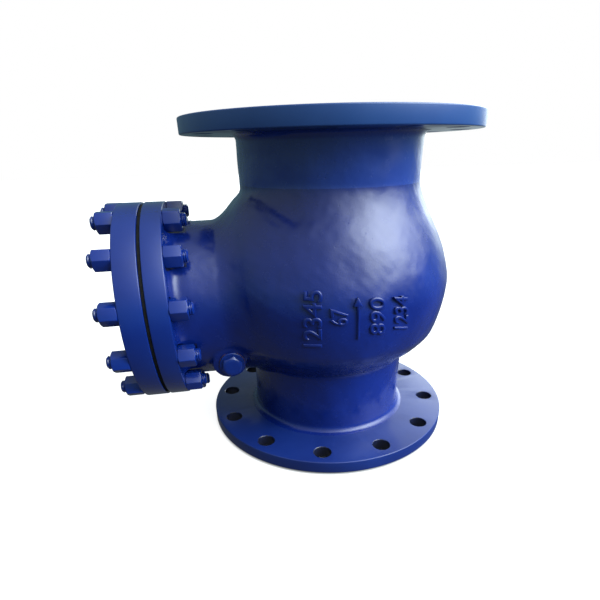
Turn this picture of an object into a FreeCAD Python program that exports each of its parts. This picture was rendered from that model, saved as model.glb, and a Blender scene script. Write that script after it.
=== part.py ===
"""Swing non-return valve, flanged, cast body with a bolted side cover.

Frame: +Z is the flow axis (inlet flange at the bottom, outlet flange on top),
the origin is the centre of the inlet flange face, the cover looks along -X and
the hinge pin lies along Y.  The valve is symmetric about the XZ plane.
All sizes are millimetres and are kept in the spreadsheet "Sizes".
"""
import FreeCAD, Part
import math
import os
import Sketcher
from FreeCAD import Placement, Rotation, Vector

doc = FreeCAD.newDocument("swing_check_valve")

# ---------------------------------------------------------------- sizes
# the stud pattern starts this many degrees from the horizontal
STUD_START = 18

SIZES = [
    ("face_to_face", 460, "inlet face to outlet face"),
    ("flange_dia", 405, "pipe flange, nominal 250, PN 16 drilling"),
    ("flange_thick", 22, "with the raised face"),
    ("raised_dia", 320, "raised face"),
    ("raised_high", 3, ""),
    ("bolt_circle", 355, "pipe bolt circle"),
    ("bolt_hole", 26, "pipe bolt hole, inlet flange"),
    ("outlet_hole", 26.4, "pipe bolt hole, outlet flange"),
    ("bolt_count", 12, ""),
    ("port_dia", 232, "pipe ports"),
    ("low_neck_dia", 252, "outside of the inlet neck"),
    ("top_neck_dia", 258, "outside of the outlet neck"),
    ("globe_rad", 187, "outside of the globe"),
    ("globe_x", -4, "globe centre"),
    ("globe_z", 237, "globe centre"),
    ("cone_top", 158, "below this the globe runs in a cone to the inlet neck"),
    ("cone_low", 108.8, ""),
    ("cone_low_rad", 110, ""),
    ("cavity_rad", 173, "inside of the globe"),
    ("cavity_cone_top", 165, "inside of the cone"),
    ("cavity_cone_low", 118, ""),
    ("cavity_low_rad", 108, ""),
    ("throat_dia", 184, "through the seat deck"),
    ("throat_low", 88, ""),
    ("deck_top", 110, "top of the seat deck"),
    ("seat_pocket_dia", 208, "counterbore for the seat ring"),
    ("seat_pocket_low", 100, ""),
    ("seat_dia", 207.8, "outside of the seat ring"),
    ("seat_top", 116, "sealing face"),
    ("seat_land_dia", 201, "outside of the sealing land"),
    ("side_z", 217, "axis of the side branch"),
    ("side_neck_dia", 227, ""),
    ("side_bore_dia", 208, ""),
    ("side_flange_dia", 284, ""),
    ("side_flange_thick", 27, ""),
    ("side_face_x", -262, "joint face of the body"),
    ("joint_gap", 4.5, "gasket thickness"),
    ("joint_in_dia", 209, "gasket bore"),
    ("joint_out_dia", 279, "gasket outside"),
    ("joint_hole", 18.6, "stud hole in the gasket"),
    ("cover_thick", 30.5, ""),
    ("spigot_dia", 205, "cover spigot in the side bore"),
    ("spigot_long", 12, ""),
    ("cover_boss_dia", 74, "turned boss on the cover"),
    ("cover_boss_high", 4, ""),
    ("stud_circle", 258, ""),
    ("stud_hole", 19.5, ""),
    ("stud_count", 12, ""),
    ("stud_dia", 18, ""),
    ("stud_past", 7, "stud end beyond the nut"),
    ("nut_flats", 26.5, ""),
    ("nut_high", 23, ""),
    ("nut_bore", 18.2, ""),
    ("spot_dia", 34, "spot face behind the side flange"),
    ("hinge_x", -165, "hinge pin axis"),
    ("hinge_z", 150, "hinge pin axis"),
    ("pin_dia", 20, ""),
    ("pin_long", 184, ""),
    ("boss_dia", 42, "outer pin boss"),
    ("boss_half", 104, "outer boss face from the middle plane"),
    ("lug_dia", 40, "thickening of the boss towards the cover"),
    ("lug_shift", 7, "its axis from the pin axis"),
    ("inner_boss_dia", 40, ""),
    ("inner_boss_face", 32, "from the middle plane"),
    ("bush_out_dia", 28, ""),
    ("bush_in_dia", 20.1, "running fit on the pin"),
    ("bush_start", 40, "from the middle plane"),
    ("bush_long", 50, ""),
    ("spacer_dia", 32, ""),
    ("spacer_bore", 20.8, ""),
    ("spacer_start", 28.3, "from the middle plane"),
    ("spacer_thick", 3.5, ""),
    ("hub_dia", 34, "arm hub on the pin"),
    ("hub_half", 28, ""),
    ("hub_bore", 20.04, ""),
    ("arm_low", 139, "underside of the arm"),
    ("arm_high", 157, "top of the arm"),
    ("arm_tip_half", 23, "half width beside the disc stem"),
    ("arm_boss_dia", 60, "arm boss round the disc stem"),
    ("arm_boss_low", 137, ""),
    ("arm_boss_high", 163, ""),
    ("arm_boss_bore", 30.1, "running fit on the disc stem"),
    ("arm_window_half", 12, ""),
    ("tail_reach", 27, "open stop: tip centre from the pin axis"),
    ("tail_round", 6, "tip radius"),
    ("tail_half", 12, "half width"),
    ("tail_rise", 27, "degrees above the horizontal, valve shut"),
    ("stop_pad_top", 127, "pad that the tail meets, fully open"),
    ("cross_pin_dia", 6, ""),
    ("cross_pin_long", 31, ""),
    ("plug_collar_dia", 36, ""),
    ("plug_collar_thick", 3, ""),
    ("plug_flats", 27, ""),
    ("plug_head_high", 9, ""),
    ("plug_shank_dia", 27.8, ""),
    ("plug_shank_long", 8, ""),
    ("plug_seal_thick", 2, ""),
    ("plug_seal_dia", 37, ""),
    ("disc_dia", 206, ""),
    ("disc_rim_top", 129, ""),
    ("disc_hub_top", 136, ""),
    ("disc_hub_dia", 70, ""),
    ("disc_recess", 3, ""),
    ("stem_dia", 30, ""),
    ("shoulder_top", 163.6, "stem shoulder under the washer"),
    ("stem_thread_dia", 27, ""),
    ("stem_top", 194, ""),
    ("washer_dia", 54, ""),
    ("washer_bore", 27.6, ""),
    ("washer_thick", 4, ""),
    ("disc_nut_flats", 41, ""),
    ("disc_nut_high", 25, "castle nut"),
    ("castle_slot", 6, "slot width"),
    ("castle_deep", 8, ""),
    ("split_pin_dia", 5, ""),
    ("split_pin_long", 52, ""),
]

sheet = doc.addObject("Spreadsheet::Sheet", "Sizes")
sheet.Label = "Sizes"
for i, (alias, value, note) in enumerate(SIZES, start=1):
    sheet.set("A%d" % i, alias.replace("_", " "))
    sheet.set("B%d" % i, str(value))
    sheet.setAlias("B%d" % i, alias)
    if note:
        sheet.set("C%d" % i, note)
doc.recompute()


class Q:
    """A size with its value and the expression that gives it."""

    def __init__(self, value, text):
        self.value = float(value)
        self.text = text

    @staticmethod
    def of(other):
        if isinstance(other, Q):
            return other
        return Q(other, repr(float(other)))

    def __add__(self, other):
        other = Q.of(other)
        return Q(self.value + other.value, "(%s + %s)" % (self.text, other.text))

    __radd__ = __add__

    def __sub__(self, other):
        other = Q.of(other)
        return Q(self.value - other.value, "(%s - %s)" % (self.text, other.text))

    def __rsub__(self, other):
        return Q.of(other) - self

    def __mul__(self, other):
        other = Q.of(other)
        return Q(self.value * other.value, "(%s * %s)" % (self.text, other.text))

    __rmul__ = __mul__

    def __truediv__(self, other):
        other = Q.of(other)
        return Q(self.value / other.value, "(%s / %s)" % (self.text, other.text))

    def __neg__(self):
        return Q(-self.value, "(0 - %s)" % self.text)

    def root(self):
        return Q(math.sqrt(self.value), "sqrt(%s)" % self.text)


def S(alias):
    return Q(float(sheet.get(alias)), "Sizes." + alias)


# ---------------------------------------------------------------- helpers
def plane_of(body, role):
    for feature in body.Origin.OriginFeatures:
        if feature.Role == role:
            return feature
    raise RuntimeError("no plane " + role)


def new_body(name):
    body = doc.addObject("PartDesign::Body", name)
    body.Label = name
    return body


def new_sketch(body, name, role, at=(0, 0, 0)):
    """A sketch on an origin plane; at is its offset along the sketch's own x, y and normal."""
    sk = body.newObject("Sketcher::SketchObject", name)
    sk.AttachmentSupport = [(plane_of(body, role), "")]
    sk.MapMode = "FlatFace"
    at = [Q.of(a) for a in at]
    sk.AttachmentOffset = Placement(Vector(*[a.value for a in at]), Rotation())
    for axis, a in zip("xyz", at):
        if a.value:
            sk.setExpression(".AttachmentOffset.Base." + axis, a.text)
    return sk


def hold(sk, kind, args, q):
    """Add a dimension and bind it to its expression."""
    q = Q.of(q)
    index = sk.addConstraint(Sketcher.Constraint(kind, *(list(args) + [q.value])))
    if "Sizes." in q.text:
        sk.setExpression("Constraints[%d]" % index, q.text)
    return index


def put_point(sk, geo, pos, x, y):
    x, y = Q.of(x), Q.of(y)
    if abs(x.value) < 1e-9:
        sk.addConstraint(Sketcher.Constraint("PointOnObject", geo, pos, -2))
    else:
        hold(sk, "DistanceX", (-1, 1, geo, pos), x)
    if abs(y.value) < 1e-9:
        sk.addConstraint(Sketcher.Constraint("PointOnObject", geo, pos, -1))
    else:
        hold(sk, "DistanceY", (-1, 1, geo, pos), y)


def outline(sk, points, arcs=None):
    """Closed outline through the points; arcs maps a side's number to the arc's centre and sense."""
    arcs = arcs or {}
    pts = [(Q.of(x), Q.of(y)) for x, y in points]
    n = len(pts)
    ids = []
    for i in range(n):
        a, b = pts[i], pts[(i + 1) % n]
        va = Vector(a[0].value, a[1].value, 0)
        vb = Vector(b[0].value, b[1].value, 0)
        if i in arcs:
            cx, cy, ccw = arcs[i]
            cx, cy = Q.of(cx), Q.of(cy)
            centre = Vector(cx.value, cy.value, 0)
            radius = (va - centre).Length
            start = math.atan2(va.y - centre.y, va.x - centre.x)
            end = math.atan2(vb.y - centre.y, vb.x - centre.x)
            circle = Part.Circle(centre, Vector(0, 0, 1), radius)
            if ccw:
                ids.append(sk.addGeometry(Part.ArcOfCircle(circle, start, end), False))
            else:
                ids.append(sk.addGeometry(Part.ArcOfCircle(circle, end, start), False))
        else:
            ids.append(sk.addGeometry(Part.LineSegment(va, vb), False))

    def start_end(i):
        if i in arcs and not arcs[i][2]:
            return 2, 1
        return 1, 2

    for i in range(n):
        j = (i + 1) % n
        sk.addConstraint(Sketcher.Constraint("Coincident", ids[i], start_end(i)[1], ids[j], start_end(j)[0]))
    for i in range(n):
        put_point(sk, ids[i], start_end(i)[0], *pts[i])
    for i in arcs:
        cx, cy, ccw = arcs[i]
        a, b = pts[i], pts[(i + 1) % n]
        if abs(b[1].value - a[1].value) > abs(b[0].value - a[0].value):
            if abs(Q.of(cx).value) < 1e-9:
                sk.addConstraint(Sketcher.Constraint("PointOnObject", ids[i], 3, -2))
            else:
                hold(sk, "DistanceX", (-1, 1, ids[i], 3), cx)
        else:
            if abs(Q.of(cy).value) < 1e-9:
                sk.addConstraint(Sketcher.Constraint("PointOnObject", ids[i], 3, -1))
            else:
                hold(sk, "DistanceY", (-1, 1, ids[i], 3), cy)
    return ids


def circle_in(sk, x, y, dia):
    x, y, dia = Q.of(x), Q.of(y), Q.of(dia)
    g = sk.addGeometry(Part.Circle(Vector(x.value, y.value, 0), Vector(0, 0, 1), dia.value / 2), False)
    put_point(sk, g, 3, x, y)
    hold(sk, "Radius", (g,), dia / 2)
    return g


def hexagon_in(sk, flats):
    """Hexagon about the sketch origin, two corners on the x axis."""
    flats = Q.of(flats)
    corner = flats / math.sqrt(3)
    pts = [(corner * math.cos(math.radians(60 * k)) if k % 3 else corner * (1 if k == 0 else -1),
            corner * math.sin(math.radians(60 * k)) if k % 3 else 0) for k in range(6)]
    return outline(sk, pts)


def set_length(feature, prop, q):
    q = Q.of(q)
    setattr(feature, prop, q.value)
    if "Sizes." in q.text:
        feature.setExpression(prop, q.text)


def pad(body, name, sk, long, reverse=False, middle=False):
    f = body.newObject("PartDesign::Pad", name)
    f.Profile = sk
    set_length(f, "Length", long)
    f.Reversed = reverse
    f.Midplane = middle
    sk.Visibility = False
    return f


def pocket(body, name, sk, long, reverse=False, middle=False):
    f = body.newObject("PartDesign::Pocket", name)
    f.Profile = sk
    set_length(f, "Length", long)
    f.Reversed = reverse
    f.Midplane = middle
    return f


def turn(body, name, sk, cut=False, axis="V_Axis"):
    f = body.newObject("PartDesign::Groove" if cut else "PartDesign::Revolution", name)
    f.Profile = sk
    f.ReferenceAxis = (sk, [axis])
    f.Angle = 360
    return f


def ring_pattern(body, name, feature, sk, count):
    """Repeat a feature round the normal of its sketch."""
    p = body.newObject("PartDesign::PolarPattern", name)
    p.Originals = [feature]
    p.Axis = (sk, ["N_Axis"])
    p.Angle = 360
    p.Occurrences = int(Q.of(count).value)
    if isinstance(count, Q):
        p.setExpression("Occurrences", count.text)
    body.Tip = p
    doc.recompute()
    return p


def dress(body, kind, name, radius, pick):
    """Fillet or chamfer the edges of the tip that pick accepts."""
    doc.recompute()
    base = body.Tip
    edges = ["Edge%d" % (i + 1) for i, e in enumerate(base.Shape.Edges) if pick(e)]
    if not edges:
        raise RuntimeError("no edge for " + name)
    f = body.newObject("PartDesign::" + kind, name)
    f.Base = (base, edges)
    set_length(f, "Radius" if kind == "Fillet" else "Size", radius)
    body.Tip = f
    doc.recompute()
    return f


def is_ring(e, x=None, y=None, z=None, r=None, axis=None, tol=0.05):
    """True for a circle, or an arc of one, with the given centre, radius and axis."""
    c = e.Curve
    if not isinstance(c, Part.Circle):
        return False
    for want, got in ((x, c.Center.x), (y, c.Center.y), (z, c.Center.z), (r, c.Radius)):
        if want is not None and abs(Q.of(want).value - got) > tol:
            return False
    return axis is None or abs(c.Axis.dot(Vector(*axis))) > 0.999


def must_shrink(body, before, what):
    doc.recompute()
    after = body.Tip.Shape.Volume
    if not after < before - 1:
        raise RuntimeError(what + " removed nothing: %.1f then %.1f" % (before, after))
    return after


# ---------------------------------------------------------------- valve body
# One casting: two pipe flanges and necks, the globe, the side branch with its
# flange, the hinge pin bosses and, inside, the deck that carries the seat.
HIGH = S("face_to_face")
R_PORT = S("port_dia") / 2

def loose_sketch(name):
    """A sketch in the XZ plane for a casting profile."""
    sk = doc.addObject("Sketcher::SketchObject", name)
    sk.Placement = Placement(Vector(0, 0, 0), Rotation(Vector(1, 0, 0), 90))
    return sk


def turned_solid(name, sk):
    f = doc.addObject("Part::Revolution", name)
    f.Source = sk
    f.Base, f.Axis, f.Angle, f.Solid = Vector(0, 0, 0), Vector(0, 0, 1), 360, True
    return f


def place(obj, at, rotation=None):
    at = [Q.of(a) for a in at]
    obj.Placement = Placement(Vector(*[a.value for a in at]), rotation or Rotation())
    for axis, a in zip("xyz", at):
        if "Sizes." in a.text:
            obj.setExpression(".Placement.Base." + axis, a.text)


ALONG = {"x": Rotation(Vector(0, 1, 0), 90), "y": Rotation(Vector(1, 0, 0), -90), "z": Rotation()}


def bar(name, dia, long, at, along):
    """Round bar from a point along +x, +y or +z."""
    f = doc.addObject("Part::Cylinder", name)
    set_length(f, "Radius", Q.of(dia) / 2)
    set_length(f, "Height", long)
    place(f, at, ALONG[along])
    return f


def joined(name, parts):
    f = doc.addObject("Part::MultiFuse", name)
    f.Shapes = parts
    f.Refine = False
    return f


def less(name, base, tool):
    f = doc.addObject("Part::Cut", name)
    f.Base, f.Tool = base, tool
    f.Refine = False
    return f


def rounded(name, base, radius, pick):
    doc.recompute()
    edges = [(i + 1, radius, radius) for i, e in enumerate(base.Shape.Edges) if pick(e)]
    if not edges:
        raise RuntimeError("no edge for " + name)
    f = doc.addObject("Part::Fillet", name)
    f.Base = base
    f.Edges = edges
    doc.recompute()
    if f.Shape.isNull() or not f.Shape.isValid():
        raise RuntimeError("rounding failed: " + name)
    return f


# outside of the casting
sk = loose_sketch("barrel_outline")
rf, rr, fr = S("raised_high"), S("raised_dia") / 2, S("flange_dia") / 2
lo, hi = S("low_neck_dia") / 2, S("top_neck_dia") / 2
outline(sk, [
    (0, 0), (rr, 0), (rr, rf), (fr, rf), (fr, S("flange_thick")),
    (lo, S("flange_thick")), (lo, S("globe_z")), (hi, S("globe_z")),
    (hi, HIGH - S("flange_thick")), (fr, HIGH - S("flange_thick")),
    (fr, HIGH - rf), (rr, HIGH - rf), (rr, HIGH), (0, HIGH)])
barrel = turned_solid("barrel", sk)
sk = loose_sketch("globe_outline")
gr, fall = S("globe_rad"), S("globe_z") - S("cone_top")
outline(sk, [
    (0, S("globe_z") + gr), ((gr * gr - fall * fall).root(), S("cone_top")),
    (S("cone_low_rad"), S("cone_low")), (0, S("cone_low"))], arcs={0: (0, S("globe_z"), False)})
globe = turned_solid("globe", sk)
place(globe, (S("globe_x"), 0, 0))
rear_x = S("side_face_x") + S("side_flange_thick")
side_neck = bar("side_neck", S("side_neck_dia"), 1 - rear_x + S("globe_x"), (rear_x - 1, 0, S("side_z")), "x")
side_flange = bar("side_flange", S("side_flange_dia"), S("side_flange_thick"),
                  (S("side_face_x"), 0, S("side_z")), "x")
outside = joined("outside", [barrel, globe, side_neck, side_flange])


def is_crease(e, x0, x1, z0, z1):
    """True for a crease curve whose box lies within these limits."""
    b = e.BoundBox
    return type(e.Curve).__name__ == "BSplineCurve" and b.XMin > x0 and b.XMax < x1 \
        and b.ZMin > z0 and b.ZMax < z1 and b.YLength > 150


outside = rounded("side_neck_root", outside, 24, lambda e: is_crease(e, -200, -120, 95, 350))
outside = rounded("inlet_root", outside, 12,
                  lambda e: is_ring(e, z=S("flange_thick"), r=lo, axis=(0, 0, 1)))
outside = rounded("outlet_root", outside, 8,
                  lambda e: is_ring(e, z=HIGH - S("flange_thick"), r=hi, axis=(0, 0, 1)))
outside = rounded("side_flange_root", outside, 10,
                  lambda e: is_ring(e, x=rear_x, r=S("side_neck_dia") / 2, axis=(1, 0, 0)))
outside = rounded("outlet_neck_crease", outside, 6, lambda e: is_crease(e, -150, 150, 355, 390))
outside = rounded("flange_rims", outside, 1.2,
                  lambda e: (is_ring(e, r=fr, axis=(0, 0, 1)) or
                             is_ring(e, r=S("side_flange_dia") / 2, axis=(1, 0, 0))))

# inside: inlet, throat, seat pocket, globe cavity and outlet, with the side bore
sk = loose_sketch("cavity_outline")
rt, rs = S("throat_dia") / 2, S("seat_pocket_dia") / 2
rc = S("cavity_rad")
half = (rc * rc - R_PORT * R_PORT).root()
drop = S("globe_z") - S("cavity_cone_top")
outline(sk, [
    (0, -1), (R_PORT, -1), (R_PORT, S("throat_low") - 18), (rt, S("throat_low")),
    (rt, S("seat_pocket_low")), (rs, S("seat_pocket_low")), (rs, S("deck_top")),
    (S("cavity_low_rad"), S("deck_top")), (S("cavity_low_rad"), S("cavity_cone_low")),
    ((rc * rc - drop * drop).root(), S("cavity_cone_top")), (R_PORT, S("globe_z") + half),
    (R_PORT, HIGH + 1), (0, HIGH + 1)], arcs={9: (0, S("globe_z"), True)})
cavity = turned_solid("cavity", sk)
side_bore = bar("side_bore", S("side_bore_dia"), 1 - S("side_face_x"), (S("side_face_x") - 1, 0, S("side_z")), "x")
inside = joined("inside", [cavity, side_bore])

# outer and inner bosses of the hinge pin, and the pad that the arm's tail meets
boss = bar("pin_boss", S("boss_dia"), S("boss_half") * 2, (S("hinge_x"), -S("boss_half"), S("hinge_z")), "y")
lug = bar("boss_lug", S("lug_dia"), S("boss_half") * 2,
          (S("hinge_x") - S("lug_shift"), -S("boss_half"), S("hinge_z") - 1), "y")
shell = less("shell", joined("outside_with_boss", [outside, boss, lug]), inside)
inner_bar = bar("inner_boss_bar", S("inner_boss_dia"), (S("boss_half") - 5) * 2,
                (S("hinge_x"), 5 - S("boss_half"), S("hinge_z")), "y")
hub_gap = bar("hub_gap", S("inner_boss_dia") + 1, S("inner_boss_face") * 2,
              (S("hinge_x"), -S("inner_boss_face"), S("hinge_z")), "y")
inner_boss = less("inner_bosses", inner_bar, hub_gap)
stop_pad = doc.addObject("Part::Box", "stop_pad")
stop_pad.Length, stop_pad.Width, stop_pad.Height = 26, 28, 18
place(stop_pad, (S("hinge_x") - S("tail_reach") * math.cos(math.radians(38)) - 13, -14, S("stop_pad_top") - 18))
casting = joined("casting", [shell, inner_boss, stop_pad])

# machined: bore for the bushes and plugs, pipe bolt holes astride the centre
# lines, stud holes of the side flange and their spot faces
tools = [bar("pin_bore", S("bush_out_dia"), S("boss_half") * 2 + 2,
             (S("hinge_x"), -S("boss_half") - 1, S("hinge_z")), "y")]
first = math.radians(15)
stud_first = math.radians(STUD_START)
for k in range(int(sheet.get("bolt_count"))):
    a = first + 2 * math.pi / int(sheet.get("bolt_count")) * k
    bx, by = S("bolt_circle") / 2 * math.cos(a), S("bolt_circle") / 2 * math.sin(a)
    tools.append(bar("inlet_hole_%d" % k, S("bolt_hole"), S("flange_thick") + 1, (bx, by, -1), "z"))
    tools.append(bar("outlet_hole_%d" % k, S("outlet_hole"), S("flange_thick") + 1,
                     (bx, by, HIGH - S("flange_thick")), "z"))
for k in range(int(sheet.get("stud_count"))):
    a = stud_first + 2 * math.pi / int(sheet.get("stud_count")) * k
    by, bz = S("stud_circle") / 2 * math.cos(a), S("side_z") + S("stud_circle") / 2 * math.sin(a)
    tools.append(bar("stud_hole_%d" % k, S("stud_hole"), S("side_flange_thick") + 2,
                     (S("side_face_x") - 1, by, bz), "x"))
    tools.append(bar("spot_face_%d" % k, S("spot_dia"), S("nut_high") + 2, (rear_x, by, bz), "x"))
valve_body = less("valve_body", casting, joined("machining", tools))
valve_body.Label = "valve_body"
doc.recompute()
if valve_body.Shape.isNull() or not valve_body.Shape.isValid() or len(valve_body.Shape.Solids) != 1:
    raise SystemExit("the casting failed")
if not valve_body.Shape.Volume < casting.Shape.Volume - 1e5:
    raise SystemExit("the machining removed nothing")

# ---------------------------------------------------------------- seat ring
seat_ring = new_body("seat_ring")
sk = new_sketch(seat_ring, "seat_section", "XZ_Plane")
so, st = S("seat_dia") / 2, S("seat_top")
outline(sk, [
    (rt, S("seat_pocket_low")), (so - 1, S("seat_pocket_low")), (so, S("seat_pocket_low") + 1),
    (so, st - 3), (S("seat_land_dia") / 2, st), (rt + 1.5, st), (rt, st - 1.5)])
turn(seat_ring, "seat_ring_turned", sk)

# ---------------------------------------------------------------- disc
disc = new_body("disc")
sk = new_sketch(disc, "disc_section", "XZ_Plane")
dr = S("disc_dia") / 2
outline(sk, [
    (0, st + S("disc_recess")), (rt - 8, st + S("disc_recess")), (rt - 5, st), (dr - 1, st), (dr, st + 1),
    (dr, S("disc_rim_top") - 2), (dr - 2, S("disc_rim_top")), (dr - 14, S("disc_rim_top")),
    (S("disc_hub_dia") / 2 + 8, S("disc_hub_top") - 4), (S("disc_hub_dia") / 2, S("disc_hub_top")),
    (S("stem_dia") / 2, S("disc_hub_top")), (S("stem_dia") / 2, S("shoulder_top")),
    (S("stem_thread_dia") / 2, S("shoulder_top")), (S("stem_thread_dia") / 2, S("stem_top") - 2),
    (S("stem_thread_dia") / 2 - 2, S("stem_top")), (0, S("stem_top"))])
turn(disc, "disc_turned", sk)
doc.recompute()
volume = disc.Tip.Shape.Volume
nut_low = S("shoulder_top") + S("washer_thick")
pin_z = nut_low + S("disc_nut_high") - S("castle_deep") / 2
sk = new_sketch(disc, "cotter_hole_circle", "XZ_Plane", (0, pin_z, 0))
circle_in(sk, 0, 0, S("split_pin_dia") + 0.3)
pocket(disc, "cotter_hole", sk, S("stem_dia") + 4, middle=True)
must_shrink(disc, volume, "cotter hole")

# ---------------------------------------------------------------- swing arm
# Hub on the hinge pin, two cheeks that run to the boss round the disc stem,
# and a short tail that meets the pad in the body when the valve is fully open.
swing_arm = new_body("swing_arm")
sk = new_sketch(swing_arm, "arm_plan", "XY_Plane", (0, 0, S("arm_low")))
outline(sk, [
    (S("hinge_x"), -S("hub_half")), (-S("arm_tip_half"), -S("arm_tip_half")),
    (-S("arm_tip_half"), S("arm_tip_half")), (S("hinge_x"), S("hub_half"))])
pad(swing_arm, "arm_web", sk, S("arm_high") - S("arm_low"))
sk = new_sketch(swing_arm, "arm_boss_circle", "XY_Plane", (0, 0, S("arm_boss_low")))
circle_in(sk, 0, 0, S("arm_boss_dia"))
pad(swing_arm, "arm_boss", sk, S("arm_boss_high") - S("arm_boss_low"))
sk = new_sketch(swing_arm, "hub_circle", "XZ_Plane", (S("hinge_x"), S("hinge_z"), 0))
circle_in(sk, 0, 0, S("hub_dia"))
pad(swing_arm, "hub", sk, S("hub_half") * 2, middle=True)
# tail: a slab with a round tip
rise = math.radians(float(sheet.get("tail_rise")))
ux, uz = -math.cos(rise), math.sin(rise)
sk = new_sketch(swing_arm, "tail_outline", "XZ_Plane", (S("hinge_x"), S("hinge_z"), 0))
reach, tip = S("tail_reach"), S("tail_round")
side_a = (reach * ux - tip * uz, reach * uz + tip * ux)
side_b = (reach * ux + tip * uz, reach * uz - tip * ux)
outline(sk, [(-tip * uz, tip * ux), side_a, side_b, (tip * uz, -tip * ux)],
        arcs={1: (reach * ux, reach * uz, False)})
pad(swing_arm, "tail", sk, S("tail_half") * 2, middle=True)
doc.recompute()
volume = swing_arm.Tip.Shape.Volume
sk = new_sketch(swing_arm, "window_outline", "XY_Plane", (0, 0, S("arm_low") - 1))
wx0, wx1, wh = S("hinge_x") + 30, -S("arm_boss_dia") / 2 - 12, S("arm_window_half")
outline(sk, [(wx0, -wh), (wx1, -wh), (wx1, wh), (wx0, wh)],
        arcs={1: (wx1, 0, True), 3: (wx0, 0, True)})
pocket(swing_arm, "window", sk, S("arm_high") - S("arm_low") + 2, reverse=True)
volume = must_shrink(swing_arm, volume, "arm window")
sk = new_sketch(swing_arm, "arm_boss_bore_circle", "XY_Plane", (0, 0, S("arm_boss_low") - 1))
circle_in(sk, 0, 0, S("arm_boss_bore"))
pocket(swing_arm, "arm_boss_bore_cut", sk, S("arm_boss_high") - S("arm_boss_low") + 2, reverse=True)
volume = must_shrink(swing_arm, volume, "arm boss bore")
sk = new_sketch(swing_arm, "hub_bore_circle", "XZ_Plane", (S("hinge_x"), S("hinge_z"), 0))
circle_in(sk, 0, 0, S("hub_bore"))
pocket(swing_arm, "hub_bore_cut", sk, S("hub_half") * 2 + 2, middle=True)
volume = must_shrink(swing_arm, volume, "hub bore")
sk = new_sketch(swing_arm, "cross_hole_circle", "XY_Plane", (S("hinge_x"), 0, S("hinge_z") - 22))
circle_in(sk, 0, 0, S("cross_pin_dia") + 0.04)
pocket(swing_arm, "cross_hole", sk, 44, reverse=True)
volume = must_shrink(swing_arm, volume, "cross hole")

# ---------------------------------------------------------------- hinge pin
hinge_pin = new_body("hinge_pin")
sk = new_sketch(hinge_pin, "pin_circle", "XZ_Plane", (S("hinge_x"), S("hinge_z"), 0))
circle_in(sk, 0, 0, S("pin_dia"))
pad(hinge_pin, "pin_bar", sk, S("pin_long"), middle=True)
dress(hinge_pin, "Chamfer", "pin_ends", 1.5, lambda e: is_ring(e, r=S("pin_dia") / 2, axis=(0, 1, 0)))
volume = hinge_pin.Tip.Shape.Volume
sk = new_sketch(hinge_pin, "pin_cross_circle", "XY_Plane", (S("hinge_x"), 0, S("hinge_z") - 22))
circle_in(sk, 0, 0, S("cross_pin_dia") + 0.04)
pocket(hinge_pin, "pin_cross_hole", sk, 44, reverse=True)
must_shrink(hinge_pin, volume, "pin cross hole")

arm_cross_pin = new_body("arm_cross_pin")
sk = new_sketch(arm_cross_pin, "cross_pin_circle", "XY_Plane",
                (S("hinge_x"), 0, S("hinge_z") - S("cross_pin_long") / 2))
circle_in(sk, 0, 0, S("cross_pin_dia"))
pad(arm_cross_pin, "cross_pin_bar", sk, S("cross_pin_long"))
dress(arm_cross_pin, "Chamfer", "cross_pin_ends", 0.6,
      lambda e: is_ring(e, r=S("cross_pin_dia") / 2, axis=(0, 0, 1)))

# ---------------------------------------------------------------- pieces on the hinge axis
# Each of these is turned, and lies on the hinge axis at a distance from the
# middle plane: the front one towards -Y, the back one towards +Y.
def tube_on_hinge(name, side, start, long, outer, inner, edge):
    body = new_body(name)
    start, long = Q.of(start), Q.of(long)
    sk = new_sketch(body, name + "_circles", "XZ_Plane",
                    (S("hinge_x"), S("hinge_z"), start if side < 0 else -start))
    circle_in(sk, 0, 0, outer)
    circle_in(sk, 0, 0, inner)
    pad(body, name + "_tube", sk, long, reverse=side > 0)
    if edge:
        dress(body, "Chamfer", name + "_edge", edge,
              lambda e: is_ring(e, r=Q.of(outer) / 2, axis=(0, 1, 0)))
    return body


turned = []
for side, end in ((-1, "front"), (1, "back")):
    turned.append(tube_on_hinge("pin_bush_" + end, side, S("bush_start"), S("bush_long"),
                                S("bush_out_dia") - 0.06, S("bush_in_dia"), 0.8))
    turned.append(tube_on_hinge("arm_spacer_" + end, side, S("spacer_start"), S("spacer_thick"),
                                S("spacer_dia"), S("spacer_bore"), 0.5))
    turned.append(tube_on_hinge("plug_gasket_" + end, side, S("boss_half"), S("plug_seal_thick"),
                                S("plug_seal_dia"), S("bush_out_dia") + 0.4, 0.4))

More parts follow.
